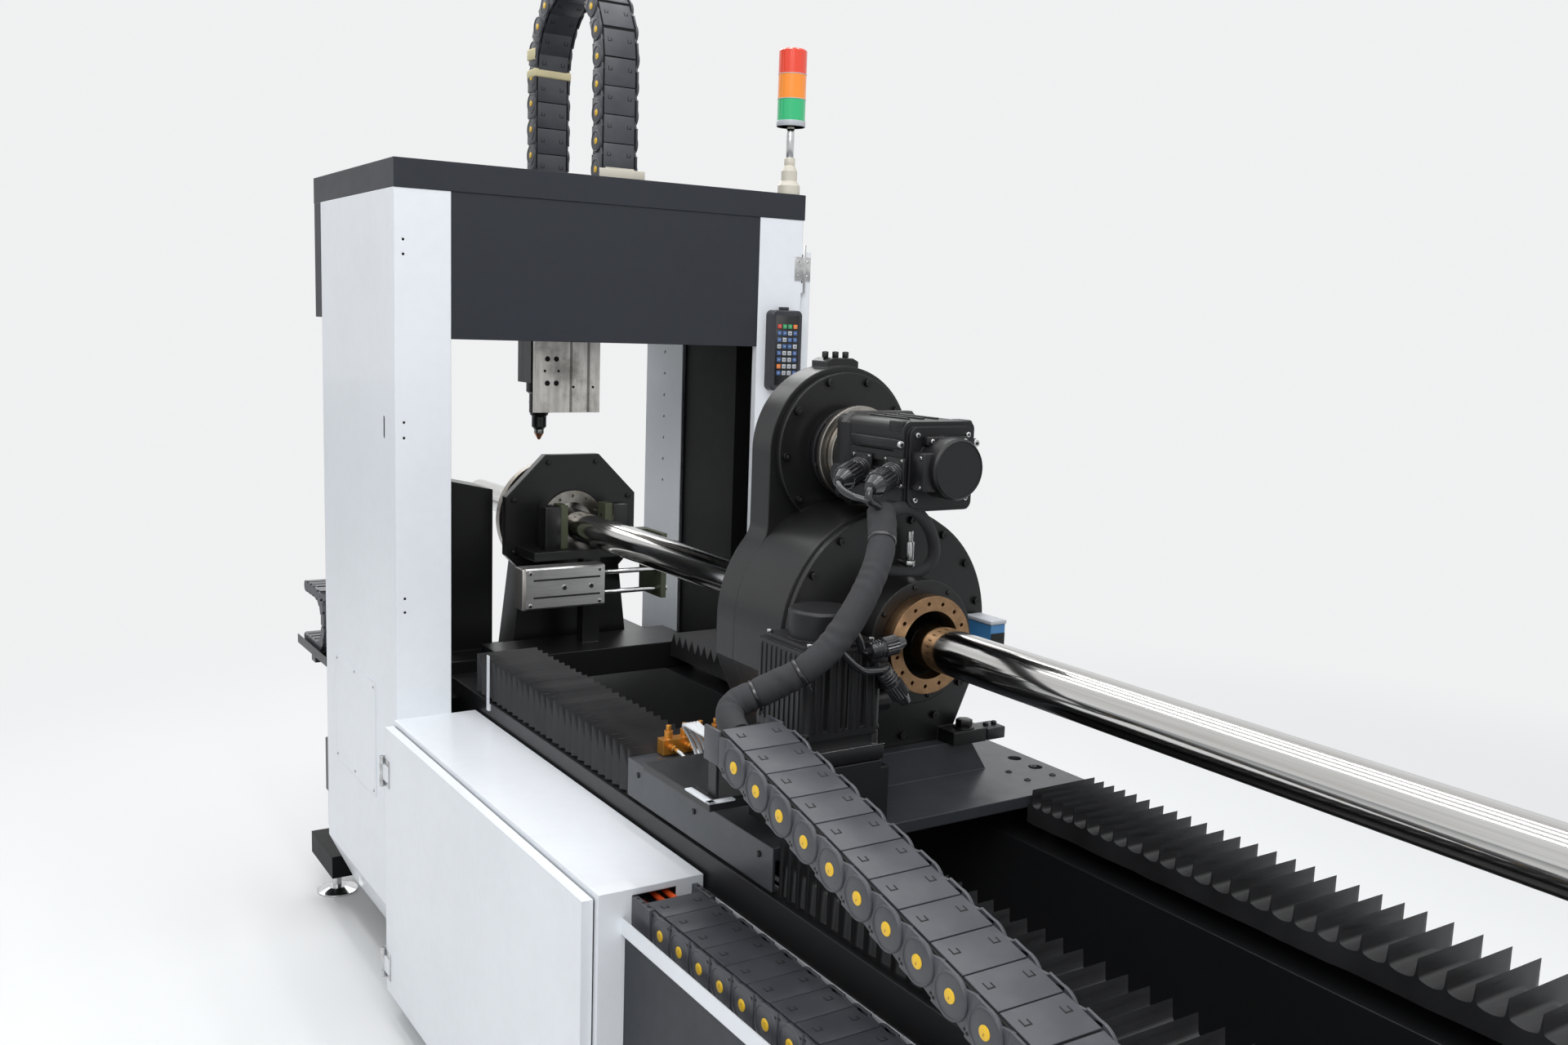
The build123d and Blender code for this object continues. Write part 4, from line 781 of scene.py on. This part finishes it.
def spinMotor():
    print("spindle motor")
    values = spinValues
    z, corner, level, face = values["z"], values["corner"], values["plugZ"], values["plugFace"]
    parts = []
    for y in values["plugs"]:
        parts.append(slab((face, y - 0.026, level - 0.024), (face + 0.005, y + 0.026, level + 0.024), 0.0015,
                          look=motorBlack))
        for dy, dz in corners(0.0215, 0.0195):
            parts += screw("x", 0.0028, 0.002, (face, y + dy, level + dz), -1, boltSilver)
        parts += plug((-0.074, y, level), values["point"], values["plugRadius"], values["plugLength"])
    # the front block with its chamfers and bolts, and the two bars that clamp the body
    half, front = values["block"], values["blockFront"]
    parts.append(slab((-half, front, z - half), (half, 0.0205, z + half), 0.018, 1, motorBlack))
    for x, dz in corners(0.055, 0.055):
        parts += screw("y", 0.0085, 0.009, (x, front, z + dz), -1)
    for sign in (-1, 1):
        parts.append(slab((sign * 0.073, -0.163, z + 0.029), (sign * 0.081, front, z + 0.044), 0.0012,
                          look=motorBlack))
        parts += screw("y", 0.0062, 0.005, (sign * 0.078, -0.163, z + 0.0365), -1, boltSilver)
    # connector box beside the round cap, and the bracket over it
    parts.append(slab((-0.062, -0.207, z - 0.036), (-0.02, -0.17, z + 0.026), 0.003, look=motorBlack))
    parts.append(slab((-0.04, -0.186, z + 0.036), (0.045, -0.171, z + 0.05), 0.002, look=motorBlack))
    for x in (-0.031, 0.036):
        parts += screw("y", 0.004, 0.003, (x, -0.186, z + 0.043), -1, boltSilver)
    for dz in (-0.029, 0.018):
        parts += screw("x", 0.0028, 0.002, (-0.062, -0.199, z + dz), -1, boltSilver)
    for x, dz in corners(corner, corner):
        parts += screw("y", 0.0046, 0.004, (x, values["plateFront"], z + dz), -1, boltSilver)
        parts += screw("y", 0.005, 0.005, (x * 1.15, values["rear"] + 0.0005, z + dz * 1.15), -1)
    # corner pads of the rear plate, and ribs along the top
    inner, outer = values["padInner"], values["padOuter"]
    for x, dz in corners(1, 1):
        parts.append(slab((x * inner, -0.16, z + dz * (inner + 0.005)), (x * outer, -0.125, z + dz * outer), 0.004,
                          look=motorBlack))
    for x in (-0.03, 0.0, 0.03):
        parts.append(slab((x - 0.004, -0.12, z + 0.0725), (x + 0.004, -0.005, z + 0.0758), 0.0012, look=motorBlack))
    # rings between the motor and the drum
    parts.append(bar("y", values["ring"] + 0.012, 0.012, (0, 0.06, z), 56, 0.001, look=spindleSteel))
    parts.append(bar("y", values["ring"], 0.014, (0, 0.042, z), 56, 0.001, look=spindleSteel))
    parts.append(bar("y", 0.0785, 0.012, (0, 0.0885, z), 56, 0.0015, look=motorBlack))
    for i in range(6):
        parts += screw("y", 0.0035, 0.0025, onRing(0.0745, 2 * math.pi * i / 6 + 0.3, 0.0825, z), -1)
    parts.append(donut("y", 0.046, 0.0012, (0, values["capFront"], z), 48, 8, motorBlack))
    fit(merge("spinMotorFittings", parts), "carriage")


travelValues = {
    "x": -0.2, "y": -0.137, "half": 0.074, "plateTop": 1.108, "corner": 0.058, "ribLow": 0.972, "ribHigh": 1.094,
    "ribs": 9, "ribPitch": 0.014, "flangeLow": 0.916, "flangeHigh": 0.9405,
    "plugs": [((-0.168, -0.2275, 1.1), (0.95, -0.06, 0.14), 0.064),
              ((-0.14, -0.2275, 1.066), (0.6, -0.06, -0.75), 0.072)],
}


def travelMotor():
    print("travel motor")
    values = travelValues
    x, y, half, corner = values["x"], values["y"], values["half"], values["corner"]
    parts = []
    for start, direction, length in values["plugs"]:
        parts += plug(start, direction, 0.016, length)
    parts.append(slab((-0.16, -0.224, 1.078), (-0.128, -0.2108, 1.096), 0.002, look=motorBlack))
    parts.append(slab((-0.13, -0.224, 1.03), (-0.127, -0.2, 1.06), 0.001, look=motorBlack))
    for dx, dy in corners(corner, corner):
        parts += screw("z", 0.005, 0.005, (x + dx, y + dy, values["plateTop"]), 1, boltSilver)
        stud = (x + dx * 1.12, y + dy * 1.12)
        parts.append(bar("z", 0.0075, 0.05, stud + (0.94,), 20, 0.001, look=motorBlack))
        parts += screw("z", 0.0085, 0.009, stud + (0.965,), 1)
    # long ribs of the drawn body, and the wider flange with a silver strip along its top, a painted highlight of the
    # flange's edge
    low, high = values["ribLow"], values["ribHigh"]
    for i in range(values["ribs"]):
        rib = -0.056 + values["ribPitch"] * i
        parts.append(slab((x + rib - 0.0022, y - half - 0.0016, low), (x + rib + 0.0022, y - half + 0.001, high),
                          0.0008, look=motorBlack))
        parts.append(slab((x - half - 0.0016, y + rib - 0.0022, low), (x - half + 0.001, y + rib + 0.0022, high),
                          0.0008, look=motorBlack))
    low, high = values["flangeLow"], values["flangeHigh"]
    parts.append(slab((x - half - 0.006, y - half - 0.003, low), (x + half + 0.006, y + half + 0.003, high), 0.003,
                      look=motorBlack))
    # a silver strip on top of the flange: painted highlight along its edge
    parts.append(slab((x - half - 0.0062, y - half - 0.0032, high + 0.0002),
                      (x + half + 0.0062, y + half + 0.0032, high + 0.0012), look=boltSilver))
    fit(merge("travelMotorFittings", parts), "carriage")


chuckValues = {
    "axisZ": 1.08, "headZ": 1.377, "boltFace": -0.062, "boltRing": 0.195, "headFace": 0.088, "headRing": 0.128,
    "noseFace": -0.1445, "noseRing": 0.0955, "seam": 0.2095, "fitting": (0.0235, -0.072), "lug": (0.16, -0.078),
    "hose": 0.0105, "hoseLength": 0.334,
    "branch": [(-0.112, -0.168, 1.306), (-0.072, -0.168, 1.318), (-0.01, -0.14, 1.296), (0.044, -0.11, 1.25),
               (0.056, -0.1, 1.205), (0.02, -0.09, 1.182), (-0.018, -0.082, 1.19), (-0.03, -0.056, 1.192)],
}


def chuckFittings():
    print("chuck fittings")
    values = chuckValues
    parts = []
    z = values["axisZ"]
    hole = {"axis": "y", "radius": 0.0038, "length": 0.0006, "sides": 6, "look": markBlack}
    for i in range(16):
        turn = math.radians(-90 + 22.5 * i + 11.25)
        parts.append(bar(middle=onRing(values["boltRing"], turn, values["boltFace"] - 0.0001, z), **hole))
    for i in range(8):
        turn = math.radians(-40 + 260 * i / 7)
        parts.append(bar(middle=onRing(values["headRing"], turn, values["headFace"] - 0.0001, values["headZ"]), **hole))
    for i in range(8):
        turn = 2 * math.pi * i / 8 + 0.2
        parts += screw("y", 0.0042, 0.003, onRing(values["noseRing"], turn, values["noseFace"], z), -1)
    for x in (-0.022, 0.0, 0.022):
        parts += screw("z", 0.0058, 0.011, (x, 0.14, 1.541), 1)
    # hexagon bolt with its washer on the foot lug, and the small stop beside it
    parts.append(bar("z", 0.019, 0.002, values["lug"] + (0.895,), 32, 0.0004, look=boltBlack))
    parts.append(bar("z", 0.0155, 0.013, values["lug"] + (0.9025,), 6, 0.001, look=boltBlack))
    parts.append(slab((0.197, -0.102, 0.8705), (0.238, -0.06, 0.892), 0.002, look=frameBlack))
    for x in (0.208, 0.227):
        parts += screw("z", 0.0052, 0.006, (x, -0.082, 0.892), 1)
    # nickel fitting on the drum
    place = values["fitting"]
    parts.append(bar("z", 0.0075, 0.032, place + (1.222,), 28, 0.001, look=boltSilver))
    parts.append(bar("z", 0.0105, 0.01, place + (1.2,), 6, 0.0008, look=boltSilver))
    parts.append(bar("z", 0.005, 0.02, place + (1.246,), 20, 0.0006, look=boltSilver))
    parts.append(bar("y", 0.006, 0.018, (place[0], place[1] + 0.008, 1.2), 20, look=boltSilver))
    parts.append(donut("y", values["seam"], 0.0016, (0, -0.0402, z), 96, 6, markBlack))
    fit(merge("chuckFittings", parts), "carriage")
    hose = looseCord("drumHose", values["branch"], values["hose"], 20, sleeveCloth)
    fit(hose, "carriage")
    sensor = [slab((0.163, -0.132, 1.0905), (0.199, -0.062, 1.0975), 0.0015, look=keyPale),
              slab((0.1655, -0.1315, 1.045), (0.1965, -0.1303, 1.075), 0.0008, look=markBlack)]
    fit(merge("sensorParts", sensor), "carriage")


# white tubes from the valve manifold along the plate and up to the chain's start
tubeValues = {"radius": 0.003, "first": -0.262, "step": 0.033, "z": 0.826, "lane": -0.322, "laneStep": 0.009,
              "lengths": [0.631, 0.643, 0.657, 0.673, 0.691]}


def airTubes():
    print("air tubes")
    values = tubeValues
    brass = []
    z = values["z"]
    for i, length in enumerate(values["lengths"]):
        x = values["first"] + values["step"] * i
        lane = values["lane"] + values["laneStep"] * i
        brass.append(bar("y", 0.0068, 0.008, (x, 0.226, z), 6, 0.0006))
        brass.append(bar("y", 0.0042, 0.012, (x, 0.217, z), 18, 0.0005))
        brass.append(bar("z", 0.0048, 0.012, (x, 0.25, z + 0.033), 18, 0.001))
        route = [(x, 0.218, z), (x, 0.185 - 0.004 * i, z), (x * 0.6 + lane * 0.4, 0.12, 0.8145),
                 (lane, 0.03, 0.8135), (lane - 0.006, -0.03, 0.816), (lane - 0.03, -0.045, 0.86),
                 (lane - 0.05, -0.04, 0.93), (-0.425 + 0.006 * i, -0.09, 0.985),
                 (-0.437 + 0.003 * i, -0.18, 0.99), (-0.438 + 0.003 * i, -0.262, 0.992)]
        tube = looseCord("airTube" + str(i + 1), route, values["radius"], 10, tubeWhite)
        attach(tube, "carriage")
    fit(merge("manifoldFittings", brass, gold), "carriage")
    strip = [slab((-0.474, -0.273, 0.9153), (-0.462, -0.2, 0.9185), 0.001),
             slab((-0.474, -0.273, 0.9153), (-0.43, -0.262, 0.9185), 0.001)]
    fit(merge("startStrip", strip, white), "carriage")


def plateScrews():
    print("plate screws")
    parts = []
    for y, side in product((-0.19, 0.018, 0.225), (-1, 1)):
        parts.append(bar("x", 0.0052, 0.003, (side * 0.3362, y, 0.788), 20, 0.0012, look=boltBlack))
    for x, y in product((-0.3, -0.24, 0.24, 0.3), (-0.165, -0.115, 0.165, 0.215)):
        if x > 0 or y > 0:
            parts += screw("z", 0.0062, 0.002, (x, y, 0.81), 1)
    fit(merge("plateScrews", parts), "carriage")


hingeValues = {
    "doorX": -0.5503, "knuckleX": -0.555, "knuckleY": 1.046, "levels": [0.132, 0.583], "tall": 0.07,
    "knuckle": 0.0054, "sideX": 0.524, "sideY": 1.054, "sideLevels": [0.4, 1.737],
}


def leafPlate(low, high, axis, places):
    parts = [slab(low, high, 0.0006, look=boltSilver)]
    for place in places:
        parts.append(bar(axis, 0.0032, 0.0008, place, 18, 0.0003, look=boltSilver))
        parts.append(bar(axis, 0.0014, 0.0012, place, 4, look=markBlack))
    return parts


def hinges():
    print("hinges")
    values = hingeValues
    radius, half = values["knuckle"], values["tall"] / 2
    fixed, door, side = [], [], []
    x = values["doorX"]
    for z in values["levels"]:
        thirds = ((-half, -half / 2, fixed), (half / 2, half, fixed), (-half / 2 + 0.0004, half / 2 - 0.0004, door))
        for low, high, group in thirds:
            middle = (values["knuckleX"], values["knuckleY"], z + (low + high) / 2)
            group.append(bar("z", radius, high - low, middle, 24, 0.0004, look=boltSilver))
        door += leafPlate((x - 0.0014, 1.006, z - half * 0.9), (x + 0.0003, 1.0395, z + half * 0.9), "x",
                          [(x - 0.0016, 1.016, z - 0.02), (x - 0.0016, 1.016, z + 0.02)])
    x = values["sideX"]
    for z in values["sideLevels"]:
        fixed.append(bar("z", radius, 0.12, (x, values["sideY"], z), 24, 0.0004, look=boltSilver))
        fixed += leafPlate((x - 0.029, 1.0482, z - 0.03), (x - 0.005, 1.0501, z + 0.03), "y",
                           [(x - 0.018, 1.048, z - 0.018), (x - 0.018, 1.048, z + 0.018)])
        side += leafPlate((x + 0.0045, 1.0602, z - 0.03), (x + 0.0255, 1.0619, z + 0.03), "y",
                          [(x + 0.016, 1.06, z - 0.018), (x + 0.016, 1.06, z + 0.018)])
    fit(merge("hingeLeaves", fixed), "machine")
    fit(merge("doorHingeLeaves", door), "cabinet_door")
    fit(merge("sideDoorHingeLeaves", side), "side_door")


gapShadeValues = {"x": (-0.5304, -0.5278), "y": (-0.0105, 1.038), "z": (0.0715, 0.683), "wide": 0.012}


# a black frame behind the cabinet's door, painted shade in the gap round the door
def doorGapShade():
    print("door gap shade")
    wide = gapShadeValues["wide"]
    (x0, x1), (y0, y1), (z0, z1) = gapShadeValues["x"], gapShadeValues["y"], gapShadeValues["z"]
    parts = [slab((x0, y0, z0), (x1, y0 + wide, z1)), slab((x0, y1 - wide, z0), (x1, y1, z1)),
             slab((x0, y0, z0), (x1, y1, z0 + wide)), slab((x0, y0, z1 - wide), (x1, y1, z1))]
    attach(merge("doorGapShade", parts, gapShadeBlack), "cabinet_door")


panelValues = {"x": -0.5232, "ys": (1.222, 1.38, 1.538), "zs": (0.477, 0.728), "plateY": 1.285, "plateRing": 0.168}


def panelScrews():
    print("panel screws")
    values = panelValues
    parts = []
    for y, z in product(values["ys"], values["zs"]):
        parts.append(bar("x", 0.0038, 0.0016, (values["x"], y, z), 18, 0.0005, look=boltSilver))
        parts.append(bar("x", 0.0016, 0.002, (values["x"] - 0.0004, y, z), 4, look=markBlack))
    for z in (0.34, 0.41):
        parts.append(bar("y", 0.0045, 0.003, (-0.482, 1.7135, z), 18, 0.0008, look=boltSilver))
    # screws of the octagonal plate
    for i in range(8):
        turn = math.pi / 8 + math.pi / 4 * i
        place = onRing(values["plateRing"], turn, values["plateY"], chuckValues["axisZ"])
        parts += screw("y", 0.0058, 0.006, place, -1)
    fit(merge("panelScrews", parts), "machine")


cylinderValues = {
    "left": -0.197, "right": 0.007, "front": 1.1, "low": 0.905, "high": 1.005, "rods": [0.93, 0.98], "rodY": 1.125,
    "grooves": (0.934, 0.976), "ports": (-0.098, -0.028), "portZ": 0.955,
}


def cylinder():
    print("clamp cylinder")
    values = cylinderValues
    left, right, front, rodY = values["left"], values["right"], values["front"], values["rodY"]
    parts = []
    for z in values["grooves"]:
        parts.append(slab((left + 0.02, front - 0.0004, z - 0.0022), (right - 0.012, front + 0.001, z + 0.0022),
                          look=markBlack))
    for x in values["ports"]:
        parts.append(bar("y", 0.0068, 0.001, (x, front - 0.0003, values["portZ"]), 24, look=boltSilver))
        parts.append(bar("y", 0.0046, 0.0016, (x, front - 0.0004, values["portZ"]), 24, look=markBlack))
    for x, z in product((-0.185, -0.006), (0.916, 0.994)):
        parts += screw("y", 0.0048, 0.0015, (x, front, z), -1, boltSilver)
    parts.append(slab((left - 0.0085, front - 0.001, values["low"] + 0.001),
                      (left + 0.0005, front + 0.051, values["high"] - 0.001), 0.0012, look=stainedSteel))
    for z in values["rods"]:
        parts.append(donut("x", 0.0094, 0.0024, (right + 0.001, rodY, z), 28, 8, boltSilver))
    fit(merge("cylinderFittings", parts), "machine")
    rods = [bar("x", 0.0062, 0.156, (0.0885, rodY, z), 28, 0.0005) for z in values["rods"]]
    rods += [bar("x", 0.0095, 0.008, (0.1845, rodY, z), 6, 0.0008) for z in values["rods"]]
    fit(merge("clampRods", rods, chrome), "right_clamp")


headValues = {
    "face": 1.345, "low": 1.357, "high": 1.8, "grooves": [0.0202, 0.068], "nozzleY": 1.503, "tip": 1.274,
    "gridX": (-0.05, 0.0, 0.05, 0.08), "gridZ": (1.4, 1.43, 1.46, 1.49), "rings": (0.066, 0.098, 0.122),
    "bores": [(-0.044, 1.491), (-0.02, 1.491), (-0.044, 1.43), (-0.02, 1.43)],
    "pins": [(-0.051, 1.461), (-0.014, 1.461), (0.027, 1.421), (0.081, 1.421)],
    "carrier": ((0.0703, 1.1884, 1.0325), (0.1106, 1.2416, 1.1365)),
}


def cuttingHead():
    print("cutting head")
    values = headValues
    face, nozzleY, tip = values["face"], values["nozzleY"], values["tip"]
    parts = []
    # plugs close the drilled grid, flush with the plate
    for x, z in product(values["gridX"], values["gridZ"]):
        parts.append(bar("y", 0.0037, 0.004, (x, face + 0.0018, z), 20, look=stainedSteel))
    for x, z in values["bores"]:
        parts.append(bar("y", 0.0068, 0.0006, (x, face - 0.0002, z), 28, look=markBlack))
    for x, z in values["pins"]:
        parts.append(bar("y", 0.0034, 0.0006, (x, face - 0.0002, z), 20, look=markBlack))
    for x in values["grooves"]:
        parts.append(slab((x - 0.0035, face - 0.0003, values["low"]), (x + 0.0035, face + 0.001, values["high"]),
                          look=grooveSteel))
    parts.append(bar("z", 0.0032, 0.0166, (0, nozzleY, tip + 0.008), 32, 0.0, 0.0125, copper))
    parts.append(bar("z", 0.0128, 0.011, (0, nozzleY, tip + 0.0215), 32, 0.0008, look=jawSteel))
    for z in values["rings"]:
        parts.append(donut("z", 0.0262 if z > 0.07 else 0.0228, 0.0012, (0, nozzleY, tip + z), 40, 6, headBlack))
    fit(merge("headFittings", parts), "head")
    # black carriers of the two clamp plates
    (near, y0, z0), (far, y1, z1) = values["carrier"]
    for side, body in ((-1, "left_clamp"), (1, "right_clamp")):
        carrier = [slab((side * near, y0, z0), (side * far, y1, z1), 0.0012, look=housing)]
        for z in (1.055, 1.11):
            carrier += screw("x", 0.0052, 0.002, (side * 0.0503, 1.215, z), -side)
        fit(merge("clampCarrier", carrier), body)


keypadValues = {
    "x": 0.46, "z": 1.534, "front": 1.0198, "pitchX": 0.0155, "pitchZ": 0.0165, "keyX": 0.0056, "keyZ": 0.0052,
    "face": ((0.4255, 1.446), (0.4945, 1.619)),
    "keys": ["rggo", "bbpb", "bpbb", "pbbp", "bppb", "bppb", "oppp", "bppb"],
}


def keypad():
    print("keypad")
    values = keypadValues
    front, (low, high) = values["front"], values["face"]
    colours = {"r": keyRed, "g": keyGreen, "o": keyOrange, "b": keyBlue, "p": keyPale}
    parts = [slab((low[0], front - 0.0002, low[1]), (high[0], front + 0.0008, high[1]), 0.0004, look=motorBlack)]
    for row, keys in enumerate(values["keys"]):
        for column, key in enumerate(keys):
            x = values["x"] + (column - 1.5) * values["pitchX"]
            z = values["z"] + (3.5 - row) * values["pitchZ"]
            parts.append(slab((x - values["keyX"], front - 0.0014, z - values["keyZ"]),
                              (x + values["keyX"], front, z + values["keyZ"]), 0.0006, look=colours[key]))
            parts.append(slab((x - 0.0024, front - 0.0016, z - 0.0008), (x + 0.0024, front - 0.0013, z + 0.0008),
                              look=markBlack if key == "p" else keyPale))
    fit(merge("keypadKeys", parts), "machine")
    hook = merge("keypadHook", [slab((0.45, 1.03, 1.632), (0.47, 1.0495, 1.64), 0.002)], padPlastic)
    fit(hook, "machine")


def towerLight():
    print("tower light")
    x, y = 0.488, 1.08
    parts = [donut("z", 0.0348, 0.0011, (x, y, z), 56, 6, keyPale) for z in (2.151, 2.211)]
    parts += [bar("z", 0.0362, 0.014, (x, y, 2.092), 48, 0.0012, look=keyPale),
              bar("z", 0.0098, 0.07, (x, y, 2.045), 28, 0.0004, look=chrome),
              bar("z", 0.0135, 0.02, (x, y, 2.0), 28, 0.002, look=cream)]
    fit(merge("towerLightTrim", parts), "machine")


footValues = {"x": (-0.02, 0.098), "y": (1.105, 1.205), "hose": 0.0065, "hoseLength": 0.079, "hoses": 3}


def chainFootBracket():
    print("chain foot bracket")
    values = footValues
    (x0, x1), (y0, y1) = values["x"], values["y"]
    plate = slab((x0, y0, 1.9192), (x1, y1, 1.9222), 0.001)
    rise = slab((x0, y0, 1.9195), (x1, y0 + 0.003, 1.9445), 0.001)
    fit(merge("chainFootBracket", [plate, rise], cream), "machine")
    for i in range(values["hoses"]):
        x = 0.02 + 0.016 * i
        route = [(x, 1.15, 1.99), (x, 1.152, 1.95), (x + 0.01 - 0.002 * i, 1.168, 1.925),
                 (x + 0.014 - 0.002 * i, 1.176, 1.92)]
        hose = looseCord("chainFootHose" + str(i + 1), route, values["hose"], 12, glossBlack)
        fit(hose, "machine")


# camera, light and floor
cameraValues = {
    "lens": 31.53, "sensor": 36.0, "far": 60.0, "place": (-1.413, -1.902, 1.597),
    "right": (0.84278845, -0.5371637, 0.03409973), "up": (0.04829285, 0.13856347, 0.9891754),
    "back": (-0.53607409, -0.83201883, 0.14272085),
}


def camera():
    print("camera")
    values = cameraValues
    data = bpy.data.cameras.new("camera")
    data.lens = values["lens"]
    data.sensor_width = values["sensor"]
    data.clip_end = values["far"]
    view = bpy.data.objects.new("camera", data)
    bpy.context.scene.collection.objects.link(view)
    columns = [values[key] for key in ("right", "up", "back", "place")]
    view.matrix_world = Matrix([[column[i] for column in columns] for i in range(3)] + [(0, 0, 0, 1)])
    bpy.context.scene.camera = view


def light(name, place, target, size, power):
    data = bpy.data.lights.new(name, "AREA")
    data.shape = "RECTANGLE"
    data.size, data.size_y = size
    data.energy = power
    lamp = bpy.data.objects.new(name, data)
    bpy.context.scene.collection.objects.link(lamp)
    lamp.location = place
    lamp.rotation_euler = (Vector(target) - Vector(place)).to_track_quat("-Z", "Y").to_euler()


studioValues = {
    "backdrop": (0.87, 0.875, 0.88), "sky": (0.9, 0.95, 1.0), "skyStrength": 0.5, "floor": 60,
    "floorColours": ((0.76, 0.76, 0.757), (0.79, 0.79, 0.787)), "haze": (2.3, 5.2),
}


def studio():
    print("studio")
    values = studioValues
    light("key", (-3.5, -4.0, 5.0), (0, 0.3, 0.9), (4.0, 3.0), 172)
    for i in range(4):
        x = -1.7 + 1.1 * i
        light("strip", (x, 0.0, 5.0), (x, 0.0, 0.0), (0.25, 8.0), 54)
    light("back", (1.0, 6.0, 4.5), (0, 0.5, 1.0), (5.0, 2.0), 120)
    world = bpy.data.worlds.new("studio")
    bpy.context.scene.world = world
    world.use_nodes = True
    tree = world.node_tree
    lit = tree.nodes["Background"]
    seen = tree.nodes.new("ShaderNodeBackground")
    for shader, colour, strength in ((lit, values["sky"], values["skyStrength"]), (seen, values["backdrop"], 1.0)):
        shader.inputs["Color"].default_value = colour + (1.0,)
        shader.inputs["Strength"].default_value = strength
    # the camera, metal and glass see the backdrop, and the sky lights the rest
    path = tree.nodes.new("ShaderNodeLightPath")
    shows = path.outputs["Is Camera Ray"]
    for ray in ("Is Glossy Ray", "Is Transmission Ray"):
        either = tree.nodes.new("ShaderNodeMath")
        either.operation = "MAXIMUM"
        tree.links.new(shows, either.inputs[0])
        tree.links.new(path.outputs[ray], either.inputs[1])
        shows = either.outputs[0]
    mix = tree.nodes.new("ShaderNodeMixShader")
    for i, source in enumerate((shows, lit.outputs[0], seen.outputs[0])):
        tree.links.new(source, mix.inputs[i])
    tree.links.new(mix.outputs[0], tree.nodes["World Output"].inputs[0])
    deselect()
    bpy.ops.mesh.primitive_plane_add(size=values["floor"], location=(0, 0, 0))
    floor = bpy.context.object
    floor.name = "floor"
    kit = Kit("floor")
    cloud = kit.noise(0.8, 3.0, 0.5)
    kit.finish(Base_Color=kit.mix(cloud, *values["floorColours"]), Roughness=0.8, Specular_IOR_Level=0.2)
    # far from the machine the floor runs into the backdrop, for the camera only
    distance = kit.node("VectorMath", {"operation": "LENGTH"}, {0: kit.coords}, "Value")
    camera = kit.node("LightPath", {}, {}, "Is Camera Ray")
    haze = kit.node("Emission", {}, {"Color": values["backdrop"], "Strength": 1.0})
    share = distance.above(*values["haze"]) * camera
    blend = kit.node("MixShader", {}, {0: share, 1: Val(kit, kit.shader.outputs[0]), 2: haze})
    kit.put(blend, kit.tree.nodes["Material Output"].inputs[0])
    floor.data.materials.append(kit.material)
    bpy.context.scene.view_settings.view_transform = "Standard"


carriageChain()
topChain()
bellows()
harness()
spinMotor()
travelMotor()
chuckFittings()
airTubes()
plateScrews()
hinges()
doorGapShade()
panelScrews()
cylinder()
cuttingHead()
keypad()
towerLight()
chainFootBracket()
camera()
studio()
